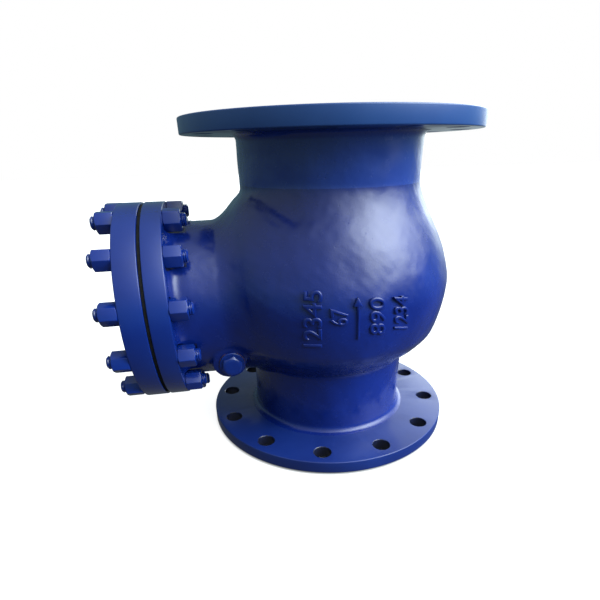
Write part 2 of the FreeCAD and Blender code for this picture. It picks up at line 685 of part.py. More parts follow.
plugs = []
for side, end in ((-1, "front"), (1, "back")):
    name = "pin_plug_" + end
    plug = new_body(name)
    face = S("boss_half") + S("plug_seal_thick")
    flip = 1 if side < 0 else -1
    shank_at = face - S("plug_seal_thick") - S("plug_shank_long")
    sk = new_sketch(plug, name + "_shank_circle", "XZ_Plane", (S("hinge_x"), S("hinge_z"), shank_at * flip))
    circle_in(sk, 0, 0, S("plug_shank_dia"))
    pad(plug, name + "_shank", sk, S("plug_shank_long") + S("plug_seal_thick") + 1, reverse=side > 0)
    sk = new_sketch(plug, name + "_collar_circle", "XZ_Plane", (S("hinge_x"), S("hinge_z"), face * flip))
    circle_in(sk, 0, 0, S("plug_collar_dia"))
    pad(plug, name + "_collar", sk, S("plug_collar_thick"), reverse=side > 0)
    head_at = face + S("plug_collar_thick")
    sk = new_sketch(plug, name + "_hexagon", "XZ_Plane", (S("hinge_x"), S("hinge_z"), head_at * flip))
    hexagon_in(sk, S("plug_flats"))
    pad(plug, name + "_head", sk, S("plug_head_high"), reverse=side > 0)
    dress(plug, "Chamfer", name + "_collar_edge", 0.8,
          lambda e: is_ring(e, y=head_at * -flip, r=S("plug_collar_dia") / 2, axis=(0, 1, 0)))
    # the head's outer corners are turned off to a cone
    corner = S("plug_flats") / math.sqrt(3)
    sk = new_sketch(plug, name + "_corner_section", "YZ_Plane", (0, S("hinge_z"), S("hinge_x")))
    top_y = (head_at + S("plug_head_high")) * -flip
    out = -flip
    outline(sk, [(top_y - out * 2.2, corner + 1), (top_y + out * 1.0, corner + 1),
                 (top_y + out * 1.0, corner - 3.2), (top_y, corner - 3.2)])
    volume = plug.Tip.Shape.Volume
    turn(plug, name + "_corners", sk, cut=True, axis="H_Axis")
    must_shrink(plug, volume, name + " corners")
    plugs.append(plug)

# ---------------------------------------------------------------- disc washer, castle nut, split pin
disc_washer = new_body("disc_washer")
sk = new_sketch(disc_washer, "washer_circles", "XY_Plane", (0, 0, S("shoulder_top")))
circle_in(sk, 0, 0, S("washer_dia"))
circle_in(sk, 0, 0, S("washer_bore"))
pad(disc_washer, "washer_plate", sk, S("washer_thick"))
dress(disc_washer, "Chamfer", "washer_edge", 0.8, lambda e: is_ring(e, r=S("washer_dia") / 2, axis=(0, 0, 1)))

disc_nut = new_body("disc_nut")
sk = new_sketch(disc_nut, "castle_hexagon", "XY_Plane", (0, 0, nut_low))
hexagon_in(sk, S("disc_nut_flats"))
pad(disc_nut, "castle_prism", sk, S("disc_nut_high"))
doc.recompute()
volume = disc_nut.Tip.Shape.Volume
sk = new_sketch(disc_nut, "castle_bore_circle", "XY_Plane", (0, 0, nut_low))
circle_in(sk, 0, 0, S("stem_thread_dia") + 0.1)
pocket(disc_nut, "castle_bore", sk, S("disc_nut_high"), reverse=True)
volume = must_shrink(disc_nut, volume, "castle bore")
nut_top = nut_low + S("disc_nut_high")
corner = S("disc_nut_flats") / math.sqrt(3)
sk = new_sketch(disc_nut, "castle_corner_section", "XZ_Plane")
outline(sk, [(corner - 4, nut_top), (corner + 1, nut_top - 2.9), (corner + 1, nut_top + 1), (corner - 4, nut_top + 1)])
turn(disc_nut, "castle_corners", sk, cut=True)
volume = must_shrink(disc_nut, volume, "castle corners")
sk = new_sketch(disc_nut, "castle_slot_outline", "XY_Plane", (0, 0, nut_top - S("castle_deep")))
hs = S("castle_slot") / 2
outline(sk, [(-hs, 8), (hs, 8), (hs, S("disc_nut_flats")), (-hs, S("disc_nut_flats"))])
slot = pocket(disc_nut, "castle_slot", sk, S("castle_deep"), reverse=True)
volume = must_shrink(disc_nut, volume, "castle slot")
ring_pattern(disc_nut, "castle_slots", slot, sk, 6)
must_shrink(disc_nut, volume, "castle slots")

split_pin = new_body("split_pin")
sk = new_sketch(split_pin, "split_pin_circle", "XZ_Plane", (0, pin_z, -22))
circle_in(sk, 0, 0, S("split_pin_dia") - 0.2)
pad(split_pin, "split_pin_leg", sk, S("split_pin_long") - 4)
sk = new_sketch(split_pin, "split_pin_eye_circles", "XY_Plane", (0, -(S("split_pin_long") - 26 + 4.4), pin_z))
circle_in(sk, 0, 0, 11)
circle_in(sk, 0, 0, 4.8)
pad(split_pin, "split_pin_eye", sk, 3.4, middle=True)
doc.recompute()

# ---------------------------------------------------------------- side cover
bonnet_cover = new_body("bonnet_cover")
cover_in = S("side_face_x") - S("joint_gap")
sk = new_sketch(bonnet_cover, "cover_circle", "YZ_Plane", (0, S("side_z"), cover_in - S("cover_thick")))
circle_in(sk, 0, 0, S("side_flange_dia"))
pad(bonnet_cover, "cover_plate", sk, S("cover_thick"))
dress(bonnet_cover, "Chamfer", "cover_rims", 1.5,
      lambda e: is_ring(e, r=S("side_flange_dia") / 2, axis=(1, 0, 0)))
sk = new_sketch(bonnet_cover, "spigot_circle", "YZ_Plane", (0, S("side_z"), cover_in))
circle_in(sk, 0, 0, S("spigot_dia"))
pad(bonnet_cover, "spigot", sk, S("spigot_long"))
sk = new_sketch(bonnet_cover, "cover_boss_circle", "YZ_Plane",
                (0, S("side_z"), cover_in - S("cover_thick") - S("cover_boss_high")))
circle_in(sk, 0, 0, S("cover_boss_dia"))
pad(bonnet_cover, "cover_boss", sk, S("cover_boss_high") + 1)
dress(bonnet_cover, "Chamfer", "cover_boss_edge", 1.5,
      lambda e: is_ring(e, x=cover_in - S("cover_thick") - S("cover_boss_high"), axis=(1, 0, 0)))
volume = bonnet_cover.Tip.Shape.Volume
sk = new_sketch(bonnet_cover, "cover_hole_circle", "YZ_Plane", (0, S("side_z"), cover_in - S("cover_thick")))
circle_in(sk, S("stud_circle") / 2 * math.cos(stud_first), S("stud_circle") / 2 * math.sin(stud_first), S("stud_hole"))
hole = pocket(bonnet_cover, "cover_hole", sk, S("cover_thick"), reverse=True)
volume = must_shrink(bonnet_cover, volume, "cover hole")
ring_pattern(bonnet_cover, "cover_holes", hole, sk, S("stud_count"))
must_shrink(bonnet_cover, volume, "cover holes")

bonnet_gasket = new_body("bonnet_gasket")
sk = new_sketch(bonnet_gasket, "gasket_circles", "YZ_Plane", (0, S("side_z"), cover_in))
circle_in(sk, 0, 0, S("joint_out_dia"))
circle_in(sk, 0, 0, S("joint_in_dia"))
pad(bonnet_gasket, "gasket_ring", sk, S("joint_gap"))
doc.recompute()
volume = bonnet_gasket.Tip.Shape.Volume
sk = new_sketch(bonnet_gasket, "gasket_hole_circle", "YZ_Plane", (0, S("side_z"), cover_in))
circle_in(sk, S("stud_circle") / 2 * math.cos(stud_first), S("stud_circle") / 2 * math.sin(stud_first), S("joint_hole"))
hole = pocket(bonnet_gasket, "gasket_hole", sk, S("joint_gap"), reverse=True)
volume = must_shrink(bonnet_gasket, volume, "gasket hole")
ring_pattern(bonnet_gasket, "gasket_holes", hole, sk, S("stud_count"))
must_shrink(bonnet_gasket, volume, "gasket holes")

# ---------------------------------------------------------------- studs and nuts of the cover
# One stud and one nut are made as bodies on the X axis; the groups are placed copies.
stud_master = new_body("stud_master")
stud_out = cover_in - S("cover_thick") - S("nut_high") - S("stud_past")
stud_in = rear_x + S("nut_high") + S("stud_past")
sk = new_sketch(stud_master, "stud_circle_sketch", "YZ_Plane", (0, 0, stud_out))
circle_in(sk, 0, 0, S("stud_dia"))
pad(stud_master, "stud_bar", sk, stud_in - stud_out)
dress(stud_master, "Chamfer", "stud_ends", 1.8, lambda e: is_ring(e, r=S("stud_dia") / 2, axis=(1, 0, 0)))

nut_master = new_body("nut_master")
sk = new_sketch(nut_master, "nut_hexagon", "YZ_Plane", (0, 0, 0))
hexagon_in(sk, S("nut_flats"))
pad(nut_master, "nut_prism", sk, S("nut_high"))
doc.recompute()
volume = nut_master.Tip.Shape.Volume
sk = new_sketch(nut_master, "nut_bore_circle", "YZ_Plane", (0, 0, 0))
circle_in(sk, 0, 0, S("nut_bore"))
pocket(nut_master, "nut_bore_cut", sk, S("nut_high"), reverse=True)
volume = must_shrink(nut_master, volume, "nut bore")
corner = S("nut_flats") / math.sqrt(3)
for label, at, out in (("low", Q.of(0), -1), ("high", S("nut_high"), 1)):
    sk = new_sketch(nut_master, "nut_corner_section_" + label, "XZ_Plane")
    depth = 1.3 if out < 0 else 1.9
    outline(sk, [(at - out * depth, corner + 0.8), (at + out * 1.0, corner + 0.8),
                 (at + out * 1.0, corner - 3.0), (at, corner - 3.0)])
    turn(nut_master, "nut_corners_" + label, sk, cut=True, axis="H_Axis")
    volume = must_shrink(nut_master, volume, "nut corners " + label)
doc.recompute()

# how far each nut happened to be turned when it came tight, in degrees
OUTER_TURN = [12, 47, 3, 1, 49, 13, 22, 20, 51, 17, 33, 42]
INNER_TURN = [30, 5, 52, 10, 49, 0, 4, 52, 14, 36, 49, 22]


def on_circle(master, x_shift, turns, flip):
    out = []
    n = int(sheet.get("stud_count"))
    for k in range(n):
        a = math.radians(STUD_START + 360.0 / n * k)
        shape = master.Shape.copy()
        spin = Rotation(Vector(1, 0, 0), turns[k] if turns else 0)
        if flip:
            spin = spin.multiply(Rotation(Vector(0, 0, 1), 180))
        r = S("stud_circle").value / 2
        pos = Vector(x_shift, r * math.cos(a), S("side_z").value + r * math.sin(a))
        shape.Placement = Placement(pos, spin)
        out.append(shape)
    return Part.makeCompound(out)


groups = []
for name, master, shift, turns, flip in (
        ("cover_studs", stud_master, 0.0, None, False),
        ("cover_nuts", nut_master, (cover_in - S("cover_thick")).value, OUTER_TURN, True),
        ("body_side_nuts", nut_master, rear_x.value, INNER_TURN, False)):
    group = doc.addObject("Part::Feature", name)
    group.Label = name
    group.Shape = on_circle(master, shift, turns, flip)
    groups.append(group)

doc.recompute()

# ---------------------------------------------------------------- check and write
nodes = [valve_body, seat_ring, disc, swing_arm, hinge_pin, arm_cross_pin] + turned + plugs + \
        [disc_washer, disc_nut, split_pin, bonnet_cover, bonnet_gasket] + groups

bad = []
for obj in doc.Objects:
    state = list(getattr(obj, "State", []))
    if "Invalid" in state or "Error" in state:
        bad.append("%s: %s" % (obj.Name, state))
for obj in nodes:
    shape = obj.Shape
    if shape.isNull() or not shape.isValid() or not shape.Solids:
        bad.append("%s: no valid solid" % obj.Label)
if bad:
    raise SystemExit("failed: " + "; ".join(bad))

os.makedirs("parts", exist_ok=True)
for obj in nodes:
    obj.Shape.exportStep("parts/%s.step" % obj.Label)
    bb = obj.Shape.BoundBox
    print("%-20s solids %2d  volume %10.0f  x %7.1f %7.1f  y %7.1f %7.1f  z %7.1f %7.1f" % (
        obj.Label, len(obj.Shape.Solids), obj.Shape.Volume,
        bb.XMin, bb.XMax, bb.YMin, bb.YMax, bb.ZMin, bb.ZMax))
print("nodes", len(nodes))
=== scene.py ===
"""Looks of the swing non-return valve: cast and turned pieces as smooth meshes,
painted and bare metal finishes, a pale studio and the camera."""
import math

import bmesh
import bpy
import numpy as np
from mathutils import Matrix, Vector


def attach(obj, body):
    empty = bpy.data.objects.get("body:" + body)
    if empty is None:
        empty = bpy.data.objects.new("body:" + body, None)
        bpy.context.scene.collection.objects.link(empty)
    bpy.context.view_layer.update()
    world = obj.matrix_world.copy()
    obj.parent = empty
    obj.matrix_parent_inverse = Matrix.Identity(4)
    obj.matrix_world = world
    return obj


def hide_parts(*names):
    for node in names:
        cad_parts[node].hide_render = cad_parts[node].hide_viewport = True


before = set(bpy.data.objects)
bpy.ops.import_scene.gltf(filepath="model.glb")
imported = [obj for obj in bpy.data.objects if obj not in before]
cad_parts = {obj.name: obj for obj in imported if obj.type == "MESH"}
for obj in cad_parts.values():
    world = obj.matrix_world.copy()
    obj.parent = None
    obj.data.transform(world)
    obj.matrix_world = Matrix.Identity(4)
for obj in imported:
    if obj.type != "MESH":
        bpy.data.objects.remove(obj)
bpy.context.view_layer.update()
MM = 0.001
STEP = 2.6          # grid of the cast surface, mm
SEG = 192            # segments of the large turned surfaces

# ------------------------------------------------------------------ sizes, mm
HIGH, THICK = 460.0, 22.0             # face to face, pipe flange thickness
R_FLANGE, R_FACE, R_BOLTS = 202.5, 160.0, 177.5
R_PORT, R_LOW, R_TOP = 116.0, 126.0, 129.0
GLOBE_X, GLOBE_Z, R_GLOBE, R_CAVITY = -4.0, 237.0, 187.0, 173.0
SIDE_Z, R_SIDE, R_SIDE_BORE, R_SIDE_FLANGE = 217.0, 113.5, 104.0, 142.0
X_FACE, X_BACK = -262.0, -235.0       # joint face and back of the side flange
X_COVER_IN, X_COVER = -266.5, -297.0  # the cover's inner and outer faces
R_STUDS = 129.0
NUT_FLATS, NUT_HIGH, STUD_R, STUD_PAST = 26.5, 23.0, 9.0, 7.0
HINGE = (-165.0, 150.0)
PIN_BORE = 14.0

# ------------------------------------------------------------------ camera
YAW, PITCH, ROLL = math.radians(80.4675), math.radians(-29.0480), math.radians(-1.3440)
fw = Vector((math.cos(PITCH) * math.cos(YAW), math.cos(PITCH) * math.sin(YAW), math.sin(PITCH)))
right = Vector((math.sin(YAW), -math.cos(YAW), 0.0))
up = right.cross(fw)
r2 = right * math.cos(ROLL) + up * math.sin(ROLL)
u2 = -right * math.sin(ROLL) + up * math.cos(ROLL)
cam_data = bpy.data.cameras.new("camera")
cam = bpy.data.objects.new("camera", cam_data)
bpy.context.scene.collection.objects.link(cam)
rot = Matrix((r2, u2, -fw)).transposed().to_4x4()
EYE = Vector((-160.73, -666.29, 419.26)) * MM
cam.matrix_world = Matrix.Translation(EYE) @ rot
cam_data.sensor_width = 36.0
cam_data.lens = 424.94 * 36.0 / 600.0
cam_data.shift_y = 85.0 / 600.0
cam_data.clip_start, cam_data.clip_end = 0.01, 50.0
bpy.context.scene.camera = cam


# ------------------------------------------------------------------ mesh helpers (millimetres in, metres out)
def link(obj):
    bpy.context.scene.collection.objects.link(obj)
    return obj


def quads_mesh(name, verts, quads):
    me = bpy.data.meshes.new(name)
    n, m = len(verts), len(quads)
    me.vertices.add(n)
    me.vertices.foreach_set("co", (np.asarray(verts, np.float32) * MM).ravel())
    me.loops.add(m * 4)
    me.loops.foreach_set("vertex_index", np.asarray(quads, np.int32).ravel())
    me.polygons.add(m)
    me.polygons.foreach_set("loop_start", np.arange(0, m * 4, 4, dtype=np.int32))
    me.update(calc_edges=True)
    me.validate()
    return me


def poly_mesh(name, verts, faces):
    me = bpy.data.meshes.new(name)
    me.from_pydata([tuple(c * MM for c in v) for v in verts], [], faces)
    me.update()
    return me


def outward(me):
    """Face normals outwards on a closed mesh."""
    bm = bmesh.new()
    bm.from_mesh(me)
    bmesh.ops.recalc_face_normals(bm, faces=bm.faces)
    if bm.calc_volume(signed=True) < 0:
        bmesh.ops.reverse_faces(bm, faces=bm.faces)
    bm.to_mesh(me)
    bm.free()
    return me


def rounded_corners(points, radii, steps=4):
    """Closed outline with its corners turned into arcs."""
    out = []
    n = len(points)
    for i in range(n):
        p = np.array(points[i], float)
        r = radii[i] if isinstance(radii, (list, tuple)) else radii
        a = np.array(points[i - 1], float) - p
        b = np.array(points[(i + 1) % n], float) - p
        la, lb = np.linalg.norm(a), np.linalg.norm(b)
        if r <= 0 or p[0] <= 1e-9:
            out.append(tuple(p))
            continue
        a, b = a / la, b / lb
        half = math.acos(max(-1, min(1, float(a @ b)))) / 2
        t = r / math.tan(half)
        t = min(t, la * 0.49, lb * 0.49)
        rr = t * math.tan(half)
        centre = p + (a + b) / np.linalg.norm(a + b) * (rr / math.sin(half))
        p0, p1 = p + a * t, p + b * t
        a0 = math.atan2(*(p0 - centre)[::-1])
        a1 = math.atan2(*(p1 - centre)[::-1])
        d = (a1 - a0 + math.pi) % (2 * math.pi) - math.pi
        for k in range(steps + 1):
            w = a0 + d * k / steps
            out.append((centre[0] + rr * math.cos(w), centre[1] + rr * math.sin(w)))
    return out


def lathe(name, profile, segs=SEG, axis="z", origin=(0, 0, 0), phase=0.0):
    """Closed solid of revolution; profile is a closed outline of (radius, height)."""
    verts, rings = [], []
    for r, z in profile:
        if r < 1e-6:
            rings.append([len(verts)])
            verts.append((0.0, 0.0, z))
        else:
            rings.append(list(range(len(verts), len(verts) + segs)))
            for k in range(segs):
                w = 2 * math.pi * (k + phase) / segs
                verts.append((r * math.cos(w), r * math.sin(w), z))
    faces = []
    n = len(rings)
    for i in range(n):
        a, b = rings[i], rings[(i + 1) % n]
        if len(a) == 1 and len(b) == 1:
            continue
        for k in range(segs):
            k2 = (k + 1) % segs
            if len(a) == 1:
                faces.append((a[0], b[k], b[k2]))
            elif len(b) == 1:
                faces.append((a[k], b[0], a[k2]))
            else:
                faces.append((a[k], b[k], b[k2], a[k2]))
    ox, oy, oz = origin
    if axis == "x":
        verts = [(z + ox, x + oy, y + oz) for x, y, z in verts]
    elif axis == "y":
        verts = [(y + ox, z + oy, x + oz) for x, y, z in verts]
    else:
        verts = [(x + ox, y + oy, z + oz) for x, y, z in verts]
    me = outward(poly_mesh(name, verts, faces))
    return link(bpy.data.objects.new(name, me))


def join_meshes(name, objs):
    """One object that holds the meshes of several, each in world place."""
    bm = bmesh.new()
    for o in objs:
        tmp = o.data.copy()
        tmp.transform(o.matrix_world)
        bm.from_mesh(tmp)
        bpy.data.meshes.remove(tmp)
    me = bpy.data.meshes.new(name)
    bm.to_mesh(me)
    bm.free()
    for o in objs:
        drop(o)
    return link(bpy.data.objects.new(name, me))


def drop(o):
    me = o.data
    bpy.data.objects.remove(o)
    if me.users == 0:
        bpy.data.meshes.remove(me)


def baked(obj):
    """Apply the modifiers of obj to its mesh."""
    deps = bpy.context.evaluated_depsgraph_get()
    me = bpy.data.meshes.new_from_object(obj.evaluated_get(deps), preserve_all_data_layers=True, depsgraph=deps)
    old = obj.data
    obj.modifiers.clear()
    obj.data = me
    me.name = obj.name
    bpy.data.meshes.remove(old)
    return obj


def combine(obj, other, operation, solver="MANIFOLD"):
    m = obj.modifiers.new("join", "BOOLEAN")
    m.operation, m.solver, m.object = operation, solver, other
    before = len(obj.data.polygons)
    baked(obj)
    drop(other)
    if len(obj.data.polygons) == 0:
        raise RuntimeError("boolean emptied %s (%d faces before)" % (obj.name, before))
    return obj


def smooth_by(obj, degrees=32):
    me = obj.data
    me.shade_smooth()
    me.set_sharp_from_angle(angle=math.radians(degrees))
    return obj


def bevelled(obj, width, segs=3, degrees=30):
    m = obj.modifiers.new("bevel", "BEVEL")
    m.width, m.segments, m.limit_method, m.angle_limit = width * MM, segs, "ANGLE", math.radians(degrees)
    m.harden_normals = False
    return baked(obj)


# ------------------------------------------------------------------ cast surface from distance functions
rng = np.random.default_rng(41)


def wave_set(count, length, seed):
    g = np.random.default_rng(seed)
    d = g.normal(size=(count, 3))
    d /= np.linalg.norm(d, axis=1)[:, None]
    k = 2 * math.pi / (length * g.uniform(0.75, 1.35, count))
    return d * k[:, None], g.uniform(0, 2 * math.pi, count)


WAVES = [(wave_set(16, 70.0, 5), 0.30), (wave_set(20, 32.0, 6), 0.16), (wave_set(24, 14.0, 7), 0.06)]


def unevenness(p):
    """Slow waviness of a sand-cast surface, in mm."""
    total = np.zeros(len(p), np.float32)
    for (k, ph), amp in WAVES:
        acc = np.zeros(len(p), np.float32)
        for i in range(len(k)):
            acc += np.sin(p[:, 0] * k[i, 0] + p[:, 1] * k[i, 1] + p[:, 2] * k[i, 2] + ph[i])
        total += acc * (amp / math.sqrt(len(k) / 2))
    return total


def round_union(a, b, r):
    ua, ub = np.maximum(r - a, 0), np.maximum(r - b, 0)
    return np.maximum(r, np.minimum(a, b)) - np.sqrt(ua * ua + ub * ub)


def round_meet(a, b, r):
    return -round_union(-a, -b, r)


def ease(t):
    t = np.clip(t, 0, 1)
    return t * t * (3 - 2 * t)


def casting(x, y, z):
    """Distance to the outside of the casting, without the flange plates."""
    r = np.sqrt(x * x + y * y)
    rg = np.sqrt((x - GLOBE_X) ** 2 + y * y)
    ball = np.sqrt(rg * rg + (z - GLOBE_Z) ** 2) - R_GLOBE
    cone = (rg - 126.0) * 0.6375 - (z - 122.0) * 0.7703
    globe = round_meet(ball, cone, 9.0)
    # the shoulder towards the side branch is a little flattened
    globe = round_meet(globe, -0.596 * x + 0.803 * z - 373.5 + 0.02 * np.abs(y), 10.0)
    # the top of the globe runs to the neck as a cone
    cone = 0.866 * (r - R_TOP) + 0.5 * (z - 374.5) - 13.0 * ease((-64 - x) / 88) - 2.2 * ease((x - 30) / 70)
    globe = round_meet(globe, cone, 22.0)
    low = np.maximum(r - R_LOW, z - 180)
    top = np.maximum(r - R_TOP, 290 - z)
    rs = np.sqrt(y * y + (z - SIDE_Z) ** 2)
    side = np.maximum(rs - (R_SIDE + 1.5 * np.clip((x - X_BACK) / 60, 0, 1)), x - GLOBE_X)
    d = round_union(globe, side, 19.0)
    d = round_union(d, low, 4.5)
    d = round_union(d, top, 5.0 + 11.0 * ease((x + 125) / 60))
    # boss of the hinge pin, thicker towards the cover, with a soft edge
    rb = round_union(np.sqrt((x - HINGE[0]) ** 2 + (z - HINGE[1]) ** 2) - 21,
                     np.sqrt((x - HINGE[0] + 7) ** 2 + (z - HINGE[1] + 1) ** 2) - 20, 5.0)
    yb = np.abs(y) - 104
    e = 2.5
    boss = np.minimum(np.maximum(rb + e, yb + e), 0) + np.sqrt(
        np.maximum(rb + e, 0) ** 2 + np.maximum(yb + e, 0) ** 2) - e
    d = round_union(d, boss, 7.0)
    # thin cores in the flange plates, so that the necks run into them in a fillet
    d = round_union(d, np.maximum(r - 155, z - (THICK - 0.05)), 11.0)
    d = round_union(d, np.maximum(r - 155, HIGH - THICK + 0.05 - z), 8.0)
    d = round_union(d, np.maximum(rs - 130, x - (X_BACK - 0.05)), 15.0)
    # cut square inside the flange plates
    d = np.maximum(d, np.maximum(11 - z, z - (HIGH - 11)))
    return np.maximum(d, X_FACE + 12 - x)


CORNERS = [(0, 0, 0), (1, 0, 0), (0, 1, 0), (1, 1, 0), (0, 0, 1), (1, 0, 1), (0, 1, 1), (1, 1, 1)]
EDGES = [(0, 1), (2, 3), (4, 5), (6, 7), (0, 2), (1, 3), (4, 6), (5, 7), (0, 4), (1, 5), (2, 6), (3, 7)]


def surface_of(fn, lo, hi, step):
    """Closed quad mesh of fn = 0."""
    ax = [np.arange(lo[i], hi[i] + step, step, dtype=np.float32) for i in range(3)]
    shape = tuple(len(a) for a in ax)
    f = np.empty(shape, np.float32)
    gy, gz = np.meshgrid(ax[1], ax[2], indexing="ij")
    for i, xv in enumerate(ax[0]):
        f[i] = fn(np.float32(xv), gy, gz)
    f[f == 0] = 1e-4
    s = f < 0
    cnt = np.zeros(tuple(n - 1 for n in shape), np.int8)
    for cx, cy, cz in CORNERS:
        cnt += s[cx:shape[0] - 1 + cx, cy:shape[1] - 1 + cy, cz:shape[2] - 1 + cz]
    active = (cnt > 0) & (cnt < 8)
    ids = -np.ones(active.shape, np.int32)
    where = np.argwhere(active)
    ids[active] = np.arange(len(where))
    vals = np.stack([f[where[:, 0] + c[0], where[:, 1] + c[1], where[:, 2] + c[2]] for c in CORNERS], 1)
    pos = np.zeros((len(where), 3))
    num = np.zeros(len(where))
    cc = np.array(CORNERS, float)
    for a, b in EDGES:
        va, vb = vals[:, a], vals[:, b]
        cross = (va < 0) != (vb < 0)
        t = np.where(cross, va / np.where(cross, va - vb, 1), 0)
        pos += np.where(cross[:, None], cc[a] + (cc[b] - cc[a]) * t[:, None], 0)
        num += cross
    verts = (where + pos / num[:, None]) * step + np.array([a[0] for a in ax])
    quads = []
    for axis in range(3):
        o1, o2 = [(1, 2), (2, 0), (0, 1)][axis]
        sl0, sl1 = [slice(None)] * 3, [slice(None)] * 3
        sl0[axis], sl1[axis] = slice(0, -1), slice(1, None)
        change = s[tuple(sl0)] != s[tuple(sl1)]
        e = np.argwhere(change)
        keep = np.ones(len(e), bool)
        for o in (o1, o2):
            keep &= (e[:, o] > 0) & (e[:, o] < shape[o] - 1)
        e = e[keep]
        inside_first = s[e[:, 0], e[:, 1], e[:, 2]]
        d1, d2 = np.zeros(3, int), np.zeros(3, int)
        d1[o1], d2[o2] = 1, 1
        c00, c10, c11, c01 = e - d1 - d2, e - d2, e, e - d1
        q = np.stack([ids[c[:, 0], c[:, 1], c[:, 2]] for c in (c00, c10, c11, c01)], 1)
        q[~inside_first] = q[~inside_first][:, ::-1]
        quads.append(q)
    return verts, np.concatenate(quads)


def field(fn, p):
    return fn(p[:, 0], p[:, 1], p[:, 2])


def settle(fn, p, rounds=3):
    """Move points onto fn = 0 along its slope."""
    h = 0.05
    for _ in range(rounds):
        d = field(fn, p)
        g = np.stack([(field(fn, p + np.eye(3)[i] * h) - field(fn, p - np.eye(3)[i] * h)) / (2 * h)
                      for i in range(3)], 1)
        g2 = np.maximum((g * g).sum(1), 0.25)
        p = p - g * np.clip(d / g2, -1.5, 1.5)[:, None]
    n = g / np.sqrt(np.maximum((g * g).sum(1), 1e-9))[:, None]
    return p, n


verts, quads = surface_of(casting, (-256, -196, 4), (190, 196, HIGH - 4), STEP)
verts, normals = settle(casting, verts)
near_boss = np.hypot(verts[:, 0] - HINGE[0], verts[:, 2] - HINGE[1])
fade = np.clip((verts[:, 2] - THICK - 6) / 20, 0, 1) * np.clip((HIGH - THICK - 6 - verts[:, 2]) / 20, 0, 1) \
    * np.clip((verts[:, 0] - X_BACK - 5) / 20, 0, 1) \
    * np.clip((100 - np.abs(verts[:, 1]) + 3 * np.maximum(0, near_boss - 24)) / 6, 0, 1)
fade = fade * (1 - 0.75 * np.exp(-((verts[:, 2] - 130) / 24) ** 2))
verts = verts + normals * (unevenness(verts) * fade)[:, None]
body = link(bpy.data.objects.new("casting", quads_mesh("casting", verts, quads)))
outward(body.data)

# flange plates: crisp, turned edges
EDGE = 1.5
low_plate = lathe("low_plate", rounded_corners(
    [(0, 0), (R_FACE, 0), (R_FACE, 3), (R_FLANGE, 3), (R_FLANGE, THICK), (0, THICK)], [0, 0.5, 0.6, EDGE, EDGE, 0]), SEG)
top_plate = lathe("top_plate", rounded_corners(
    [(0, HIGH - THICK), (R_FLANGE, HIGH - THICK), (R_FLANGE, HIGH - 3), (R_FACE, HIGH - 3), (R_FACE, HIGH), (0, HIGH)],
    [0, EDGE, EDGE, 0.6, 0.5, 0]), SEG)
side_plate = lathe("side_plate", rounded_corners(
    [(0, X_FACE), (R_SIDE_FLANGE, X_FACE), (R_SIDE_FLANGE, X_BACK), (0, X_BACK)], [0, 1.2, EDGE, 0]),
    SEG, "x", (0, 0, SIDE_Z))
combine(body, low_plate, "UNION")
combine(body, top_plate, "UNION")
combine(body, side_plate, "UNION")

# inside
h = math.sqrt(R_CAVITY ** 2 - R_PORT ** 2)
low_w = math.asin((165.0 - GLOBE_Z) / R_CAVITY)
top_w = math.asin(h / R_CAVITY)
cavity = [(0, -2), (R_PORT, -2), (R_PORT, 70), (92, 88), (92, 100), (104, 100), (104, 110), (108, 110), (108, 118)]
arc = [(R_CAVITY * math.cos(low_w + (top_w - low_w) * k / 28), GLOBE_Z + R_CAVITY * math.sin(low_w + (top_w - low_w) * k / 28))
       for k in range(29)]
cut = lathe("cavity", rounded_corners(cavity, [0, 0, 6, 1.2, 0.3, 0.3, 0.3, 0.3, 3], 3) + arc
            + [(R_PORT, HIGH + 2), (0, HIGH + 2)], SEG)
bore = lathe("side_bore", [(0, X_FACE - 3), (R_SIDE_BORE, X_FACE - 3), (R_SIDE_BORE, 2), (0, 2)],
             SEG, "x", (0, 0, SIDE_Z), 0.5)
combine(cut, bore, "UNION")
combine(body, cut, "DIFFERENCE")

# inner bosses of the hinge pin and the stop pad
for side in (-1, 1):
    y0, y1 = (32, 96) if side > 0 else (-96, -32)
    boss = lathe("inner_boss", rounded_corners([(0, y0), (20, y0), (20, y1), (0, y1)],
                 [0, 1.5 if side > 0 else 0, 0 if side > 0 else 1.5, 0]), 64, "y", (HINGE[0], 0, HINGE[1]))
    combine(body, boss, "UNION")
pad_x = HINGE[0] - 27 * math.cos(math.radians(38)) - 13
pad = poly_mesh("stop_pad", [(pad_x + 26 * i, -14 + 28 * j, 109 + 18 * k) for i in (0, 1) for j in (0, 1) for k in (0, 1)],
                [(0, 1, 3, 2), (4, 6, 7, 5), (0, 4, 5, 1), (2, 3, 7, 6), (0, 2, 6, 4), (1, 5, 7, 3)])
combine(body, link(bpy.data.objects.new("stop_pad", outward(pad))), "UNION")

# machined holes, each with a broken edge
flare = 0.8


def hole_cutter(radius, z0, z1, axis, origin, segs=40):
    return lathe("hole", [(0, z0 - 3), (radius + flare + 3, z0 - 3), (radius + flare, z0), (radius, z0 + flare),
                          (radius, z1 - flare), (radius + flare, z1), (radius + flare + 3, z1 + 3), (0, z1 + 3)],
                 segs, axis, origin)


def stud_place(k):
    a = math.radians(18 + 30 * k)
    return R_STUDS * math.cos(a), SIDE_Z + R_STUDS * math.sin(a)


